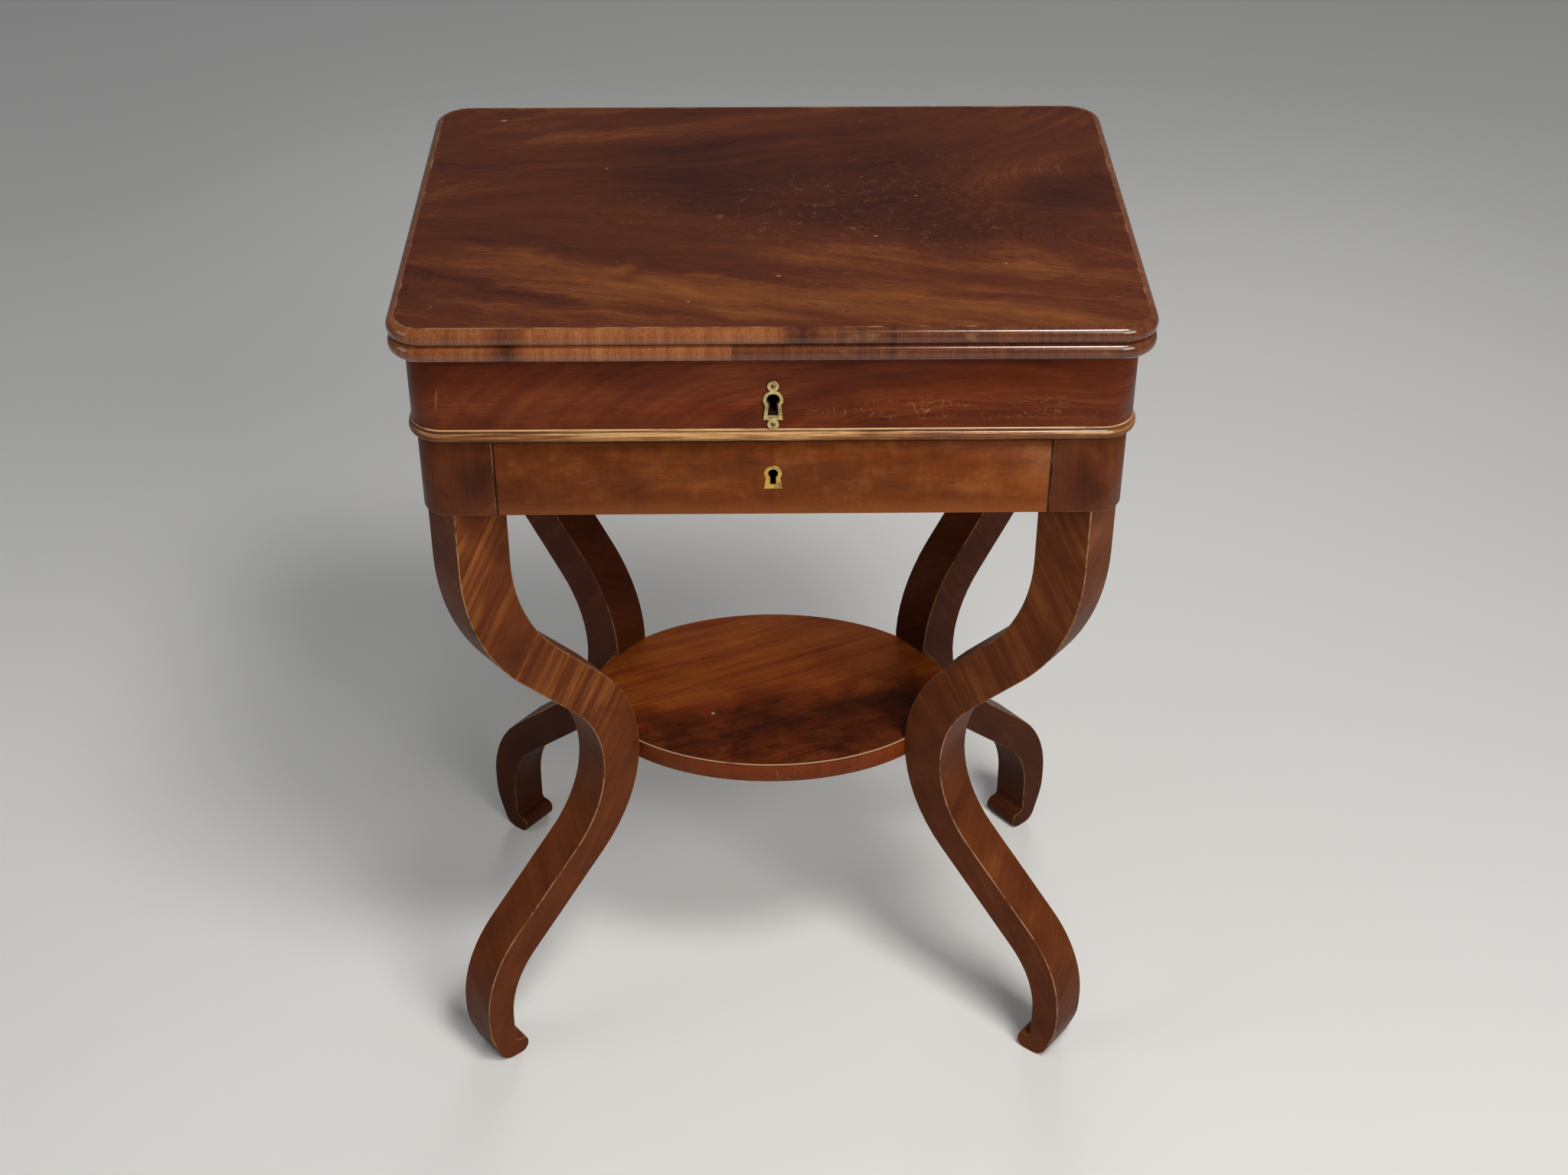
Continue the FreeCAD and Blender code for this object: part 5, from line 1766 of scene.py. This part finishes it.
@dataclass(frozen=True)
class Leg:
    """One scrolled leg: a board sawn along a double curve, set on a slant under a corner of the case."""

    end: str
    side: str
    stripes: float
    map_shift: float

    thickness: ClassVar[float] = 0.037
    angle: ClassVar[float] = math.radians(39)
    axis_x: ClassVar[float] = 0.050122
    stations: ClassVar[tuple[Flat, ...]] = (
        (0.231438, 0.576), (0.231438, 0.452), (0.066, 0.2695), (0.254, 0.095), (0.254, 0.0))
    widths: ClassVar[tuple[float, ...]] = (0.046, 0.0395, 0.031, 0.0255)
    radii: ClassVar[tuple[float, ...]] = (0.171, 0.118, 0.096)
    bends: ClassVar[tuple[int, ...]] = (1, -1, 1)
    heel_turn: ClassVar[Flat] = (0.036, 0.070)
    heel_set: ClassVar[float] = 0.0125
    heel_radius: ClassVar[float] = 0.014
    instep_run: ClassVar[float] = 0.011
    toe_length: ClassVar[float] = 0.012
    toe_height: ClassVar[float] = 0.017
    toe_radii: ClassVar[tuple[float, float, float]] = (0.008, 0.006, 0.004)
    toe_seam: ClassVar[float] = 0.0015
    straight_bend: ClassVar[float] = 1e-3
    arris: ClassVar[float] = 0.0008
    inner_rub: ClassVar[float] = 0.5
    edge_stripes: ClassVar[float] = 0.15
    divisions: ClassVar[int] = 4
    line_steps: ClassVar[int] = 6
    arc_steps: ClassVar[int] = 16

    def build(self) -> None:
        """Make the leg's mesh and put it on the case."""
        outer, inner = self._edges()
        name = f"leg_{self.end}_{self.side}"
        # The back legs get the darker copy of the veneer, which paints in their shade.
        finish = SHADED_BACK_LEG if self.end == "back" else LEG
        stand_for(f"{name}_piece", self._mesh(name, outer, inner), finish, Slot.LEG, [name])

    def _edges(self) -> tuple[list[Vector], list[Vector]]:
        """Outer and inner edge of the leg in its own plane, as matched points from the top to the toe.

        Returns:
            Points (reach, height) of the two edges.
        """
        outer_start, outer, heel = self._edge_corners(1)
        inner_start, inner, instep = self._edge_corners(-1)
        tip = instep - self.toe_length
        sole_round, tip_round, notch_round = self.toe_radii
        middle = (self.toe_height + sole_round - tip_round) / 2
        turn_height, turn_radius = self.heel_turn
        outer += [(Vector((heel, turn_height)), turn_radius),
                  (Vector((heel - self.heel_set, 0.0)), self.heel_radius), (Vector((tip, 0.0)), sole_round)]
        inner += [(Vector((instep, turn_height)), self.instep_run),
                  (Vector((instep, self.toe_height)), notch_round),
                  (Vector((tip, self.toe_height)), tip_round)]
        seam = self.toe_seam
        return (self._rounded(outer_start, outer, Vector((tip, middle - seam))),
                self._rounded(inner_start, inner, Vector((tip, middle + seam))))

    def _edge_corners(self, hand: int) -> tuple[Vector, list[tuple[Vector, float]], float]:
        """Turns of one edge, offset from the leg's centre line.

        Args:
            hand: 1 for the outer edge and -1 for the inner one.

        Returns:
            Start of the edge, its turns with their radii, and the reach of its last run.
        """
        lines = []
        for start, stop, width in zip(self.stations, self.stations[1:], self.widths):
            along = (Vector(stop) - Vector(start)).normalized()
            offset = Vector((-along.y, along.x)) * (hand * width / 2)
            lines.append((Vector(start) + offset, along))
        turns = []
        for (first, way), (second, other), radius, bend, width in zip(
                lines, lines[1:], self.radii, self.bends, self.widths[1:]):
            gap = second - first
            reach = (gap.x * other.y - gap.y * other.x) / (way.x * other.y - way.y * other.x)
            turns.append((first + way * reach, radius + hand * bend * width / 2))
        return lines[0][0], turns, lines[-1][0].x

    def _rounded(self, start: Vector, turns: Sequence[tuple[Vector, float]], stop: Vector) -> list[Vector]:
        """Points along straight runs with rounded turns.

        Args:
            start: First point.
            turns: Corners with their radii; where the run goes straight on, the reach of a row of points.
            stop: Last point.

        Returns:
            The same number of points for the same number of turns.
        """
        corners = [start, *(corner for corner, radius in turns), stop]
        points = [start]
        for index, (corner, radius) in enumerate(turns, 1):
            before = (corner - corners[index - 1]).normalized()
            after = (corners[index + 1] - corner).normalized()
            bend = before.angle_signed(after)
            if abs(bend) < self.straight_bend:
                points += self._straight(points[-1], corner - before * radius)
                points += self._straight(points[-1], corner + before * radius, self.arc_steps)
                continue
            tangent = radius * math.tan(abs(bend) / 2)
            arc_start = corner - before * tangent
            centre = arc_start + Vector((-before.y, before.x)) * math.copysign(radius, -bend)
            points += self._straight(points[-1], arc_start)
            spoke = arc_start - centre
            for step in range(1, self.arc_steps + 1):
                angle = -bend * step / self.arc_steps
                turned = Vector((spoke.x * math.cos(angle) - spoke.y * math.sin(angle),
                                 spoke.x * math.sin(angle) + spoke.y * math.cos(angle)))
                points.append(centre + turned)
        return points + self._straight(points[-1], stop)

    def _straight(self, start: Vector, stop: Vector, steps: int = line_steps) -> list[Vector]:
        """Points after the start of a straight run, to its end."""
        return [start.lerp(stop, step / steps) for step in range(1, steps + 1)]

    def _ring(self, outer: Vector, inner: Vector) -> list[RingPoint]:
        """Section of the leg at one station: two sides, two edges and four rounded arrises.

        Args:
            outer: Point of the outer edge.
            inner: Point of the inner edge.

        Returns:
            The points round the section.
        """
        way = (outer - inner).normalized()
        width = (outer - inner).length
        half = self.thickness / 2
        soft = min(self.arris, width / 3)
        bite = soft * (1 - math.sqrt(0.5))
        ring = []
        halves = ((1, inner, outer, -way, 1.0), (-1, outer, inner, way, self.inner_rub))
        for hand, start, end, inside, rub in halves:
            for division in range(self.divisions):
                step = soft + (width - 2 * soft) * division / self.divisions
                ring.append(RingPoint(start - inside * step, hand * half))
            ring.append(RingPoint(end + inside * soft, hand * half, rub))
            ring.append(RingPoint(end + inside * bite, hand * (half - bite), rub))
            ring.append(RingPoint(end, hand * (half - soft), 0.0, True))
            ring.append(RingPoint(end, -hand * (half - soft), rub))
            ring.append(RingPoint(end + inside * bite, -hand * (half - bite), rub))
        return ring

    def _mesh(self, name: str, outer: Sequence[Vector], inner: Sequence[Vector]) -> bpy.types.Mesh:
        """Skin the sections of the leg.

        Args:
            name: Name of the mesh.
            outer: Points of the outer edge.
            inner: Points of the inner edge.

        Returns:
            Closed mesh with its grain map and marks.
        """
        rings = [self._ring(*pair) for pair in zip(outer, inner)]
        runs = [0.0]
        for index in range(1, len(rings)):
            step = (outer[index] + inner[index] - outer[index - 1] - inner[index - 1]) / 2
            runs.append(runs[-1] + step.length)
        count = len(rings[0])
        faces, maps, rubs, bars = [], [], [], []
        for low in range(len(rings) - 1):
            for spot in range(count):
                after = (spot + 1) % count
                corners = [(low, spot), (low, after), (low + 1, after), (low + 1, spot)]
                point = rings[low][spot]
                faces.append(tuple(ring * count + place for ring, place in corners))
                maps += [self._map(rings[ring][place], runs[ring], point.on_edge) for ring, place in corners]
                rubs.append(point.arris)
                bars.append(self.edge_stripes if point.on_edge else self.stripes)
        for ring in (0, len(rings) - 1):
            faces.append(tuple(ring * count + spot for spot in range(count)))
            maps += [self._map(point, runs[ring], False) for point in rings[ring]]
            rubs.append(0.0)
            bars.append(self.edge_stripes)
        places = [self._on_table(point) for ring in rings for point in ring]
        return self._finish_mesh(name, places, faces, maps, {ARRIS: rubs, STRIPES: bars})

    def _map(self, point: RingPoint, run: float, on_edge: bool) -> Flat:
        """Grain map of a point: the leg's own plane on the sides, and run by depth on the edges."""
        first, second = (run, point.depth) if on_edge else point.place
        return first + self.map_shift, second

    def _on_table(self, point: RingPoint) -> Point:
        """Place of a point of the leg on the table."""
        x_sign = 1 if self.side == "right" else -1
        y_sign = 1 if self.end == "back" else -1
        x = self.axis_x + point.place.x * math.cos(self.angle) + point.depth * math.sin(self.angle)
        y = point.place.x * math.sin(self.angle) - point.depth * math.cos(self.angle)
        return x_sign * x, y_sign * y, point.place.y

    @staticmethod
    def _finish_mesh(name: str, places: Sequence[Point], faces: Sequence[tuple[int, ...]],
                     maps: Sequence[Flat], marks: dict[str, list[float]]) -> bpy.types.Mesh:
        """Put the parts of the leg's mesh together.

        Args:
            name: Name of the mesh.
            places: Vertices.
            faces: Faces.
            maps: Grain map of each corner of each face.
            marks: Marks of the faces, by name.

        Returns:
            The mesh, facing outwards, with weighted normals.
        """
        mesh = bpy.data.meshes.new(name)
        mesh.from_pydata(places, [], faces)
        layer = mesh.uv_layers.new(name=GRAIN_MAP)
        layer.data.foreach_set("uv", [part for pair in maps for part in pair])
        for mark, values in marks.items():
            mesh.attributes.new(mark, "FLOAT", "FACE").data.foreach_set("value", values)
        shape = bmesh.new()
        shape.from_mesh(mesh)
        bmesh.ops.recalc_face_normals(shape, faces=shape.faces)
        for face in shape.faces:
            face.smooth = True
        shape.to_mesh(mesh)
        shape.free()
        return with_weighted_normals(mesh)


NORMAL_WEIGHT = 80


def with_weighted_normals(mesh: bpy.types.Mesh) -> bpy.types.Mesh:
    """Copy of a smooth mesh whose normals follow its larger faces.

    Args:
        mesh: Smooth mesh.

    Returns:
        The new mesh.
    """
    mesh.set_sharp_from_angle(angle=LEG_SHARP_ANGLE)
    holder = put(f"{mesh.name}_holder", mesh)
    weighted = holder.modifiers.new("normals", "WEIGHTED_NORMAL")
    weighted.keep_sharp = True
    weighted.weight = NORMAL_WEIGHT
    return plain_mesh(holder)


@dataclass
class Understructure:
    """The four legs, and the oval shelf between them."""

    legs: tuple[Leg, ...] = (
        Leg("front", "left", 1.0, 0.0), Leg("front", "right", 0.30, 1.7),
        Leg("back", "left", 0.25, 3.1), Leg("back", "right", 0.30, 4.6))
    shelf_arris: float = 0.0006

    def build(self) -> None:
        """Make the legs and the shelf."""
        for leg in self.legs:
            leg.build()
        soften(SHELF, Slot.LEG, self.shelf_arris, "oval_shelf")
        dress(CARCASE_LONG, *(f"shelf_dowel_{leg.end}_{leg.side}" for leg in self.legs))


@dataclass(frozen=True)
class Lamp:
    """Soft lamp of the studio; a fill only lifts shade, in a narrow beam that polished pieces don't show."""

    name: str
    place: Point
    aim: Point
    size: Flat
    power: float
    colour: Colour
    fill: bool = False

    fill_spread: ClassVar[float] = math.radians(40)

    def hang(self) -> None:
        """Put the lamp in the scene, out of the camera's sight."""
        light = bpy.data.lights.new(self.name, "AREA")
        light.shape = "RECTANGLE"
        light.size, light.size_y = self.size
        light.energy = self.power
        light.color = self.colour
        lamp = put(self.name, light)
        lamp.location = self.place
        lamp.rotation_euler = (Vector(self.aim) - Vector(self.place)).to_track_quat("-Z", "Y").to_euler()
        lamp.visible_camera = False
        if self.fill:
            light.spread = self.fill_spread
            lamp.visible_glossy = False


@dataclass
class Studio:
    """Floor, light and camera."""

    floor_half: float = 3.4
    camera_place: Point = (-0.0142086, -1.6200207, 1.526957)
    camera_angles: Point = (54.8547, -0.1171, -0.8056)
    focal_length: float = 53.613
    sensor_width: float = 36.0
    nearest: float = 0.05
    ambient: Colour = (0.90, 0.95, 1.0)
    ambient_strength: float = 0.15
    backdrop: Colour = (0.56, 0.56, 0.55)
    lamps: tuple[Lamp, ...] = (
        Lamp("ceiling_lamp", (0.60, -1.00, 2.60), (0.0, -0.05, 0.6), (0.6, 0.5), 31.0, (1.0, 0.975, 0.94)),
        Lamp("front_lamp", (1.3, -2.2, 2.05), (0.0, 0.0, 0.45), (1.4, 1.2), 54.0, (1.0, 0.97, 0.93)),
        Lamp("left_lamp", (-2.4, -0.9, 1.6), (0.0, 0.0, 0.4), (1.2, 1.2), 9.0, (0.95, 0.98, 1.0)),
        Lamp("back_lamp", (0.3, 3.3, 0.60), (0.0, 0.0, 0.50), (1.8, 0.25), 6.0, (1.0, 0.98, 0.95), True),
    )

    def build(self) -> None:
        """Set up the studio."""
        self._floor()
        self._world()
        for lamp in self.lamps:
            lamp.hang()
        self._camera()
        bpy.context.scene.view_settings.view_transform = "Standard"

    def _floor(self) -> None:
        """Lay the floor."""
        mesh = bpy.data.meshes.new("studio_floor")
        half = self.floor_half
        corners = [(-half, -half, 0.0), (half, -half, 0.0), (half, half, 0.0), (-half, half, 0.0)]
        mesh.from_pydata(corners, [], [(0, 1, 2, 3)])
        mesh.materials.append(StudioFloor("studio_floor").material())
        floor = put("studio_floor", mesh)

    def _world(self) -> None:
        """Light the room evenly, and show a plain pale backdrop behind the floor."""
        world = bpy.data.worlds.new("studio_world")
        world.use_nodes = True
        world.node_tree.nodes.clear()
        board = Board(world.node_tree)
        room = board.node("ShaderNodeBackground", None,
                          {"Color": self.ambient, "Strength": self.ambient_strength})
        wall = board.node("ShaderNodeBackground", None, {"Color": self.backdrop})
        ray = board.node("ShaderNodeLightPath", out="Is Camera Ray")
        seen = board.node("ShaderNodeMixShader", None, {0: ray, 1: room, 2: wall})
        board.node("ShaderNodeOutputWorld", None, {"Surface": seen})
        bpy.context.scene.world = world

    def _camera(self) -> None:
        """Stand the camera where the table was seen from."""
        lens = bpy.data.cameras.new("studio_camera")
        lens.lens = self.focal_length
        lens.sensor_width = self.sensor_width
        lens.clip_start = self.nearest
        camera = put("studio_camera", lens)
        camera.location = self.camera_place
        camera.rotation_euler = [math.radians(angle) for angle in self.camera_angles]
        bpy.context.scene.camera = camera


def clear_startup() -> None:
    """Remove the objects that Blender starts with."""
    for name in ("Cube", "Light", "Camera"):
        if name in bpy.data.objects:
            bpy.data.objects.remove(bpy.data.objects[name])


def main() -> None:
    """Build the table around its frame, and the studio around the table."""
    logging.basicConfig(level=logging.INFO, format="%(name)s %(message)s")
    clear_startup()
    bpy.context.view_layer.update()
    assemblies = (
        FoldOverTop(), UpperFrieze(), BeadMoulding(), LowerCase(), Drawer(), Understructure(), Studio())
    for assembly in assemblies:
        assembly.build()


if __name__ == "__main__":
    main()
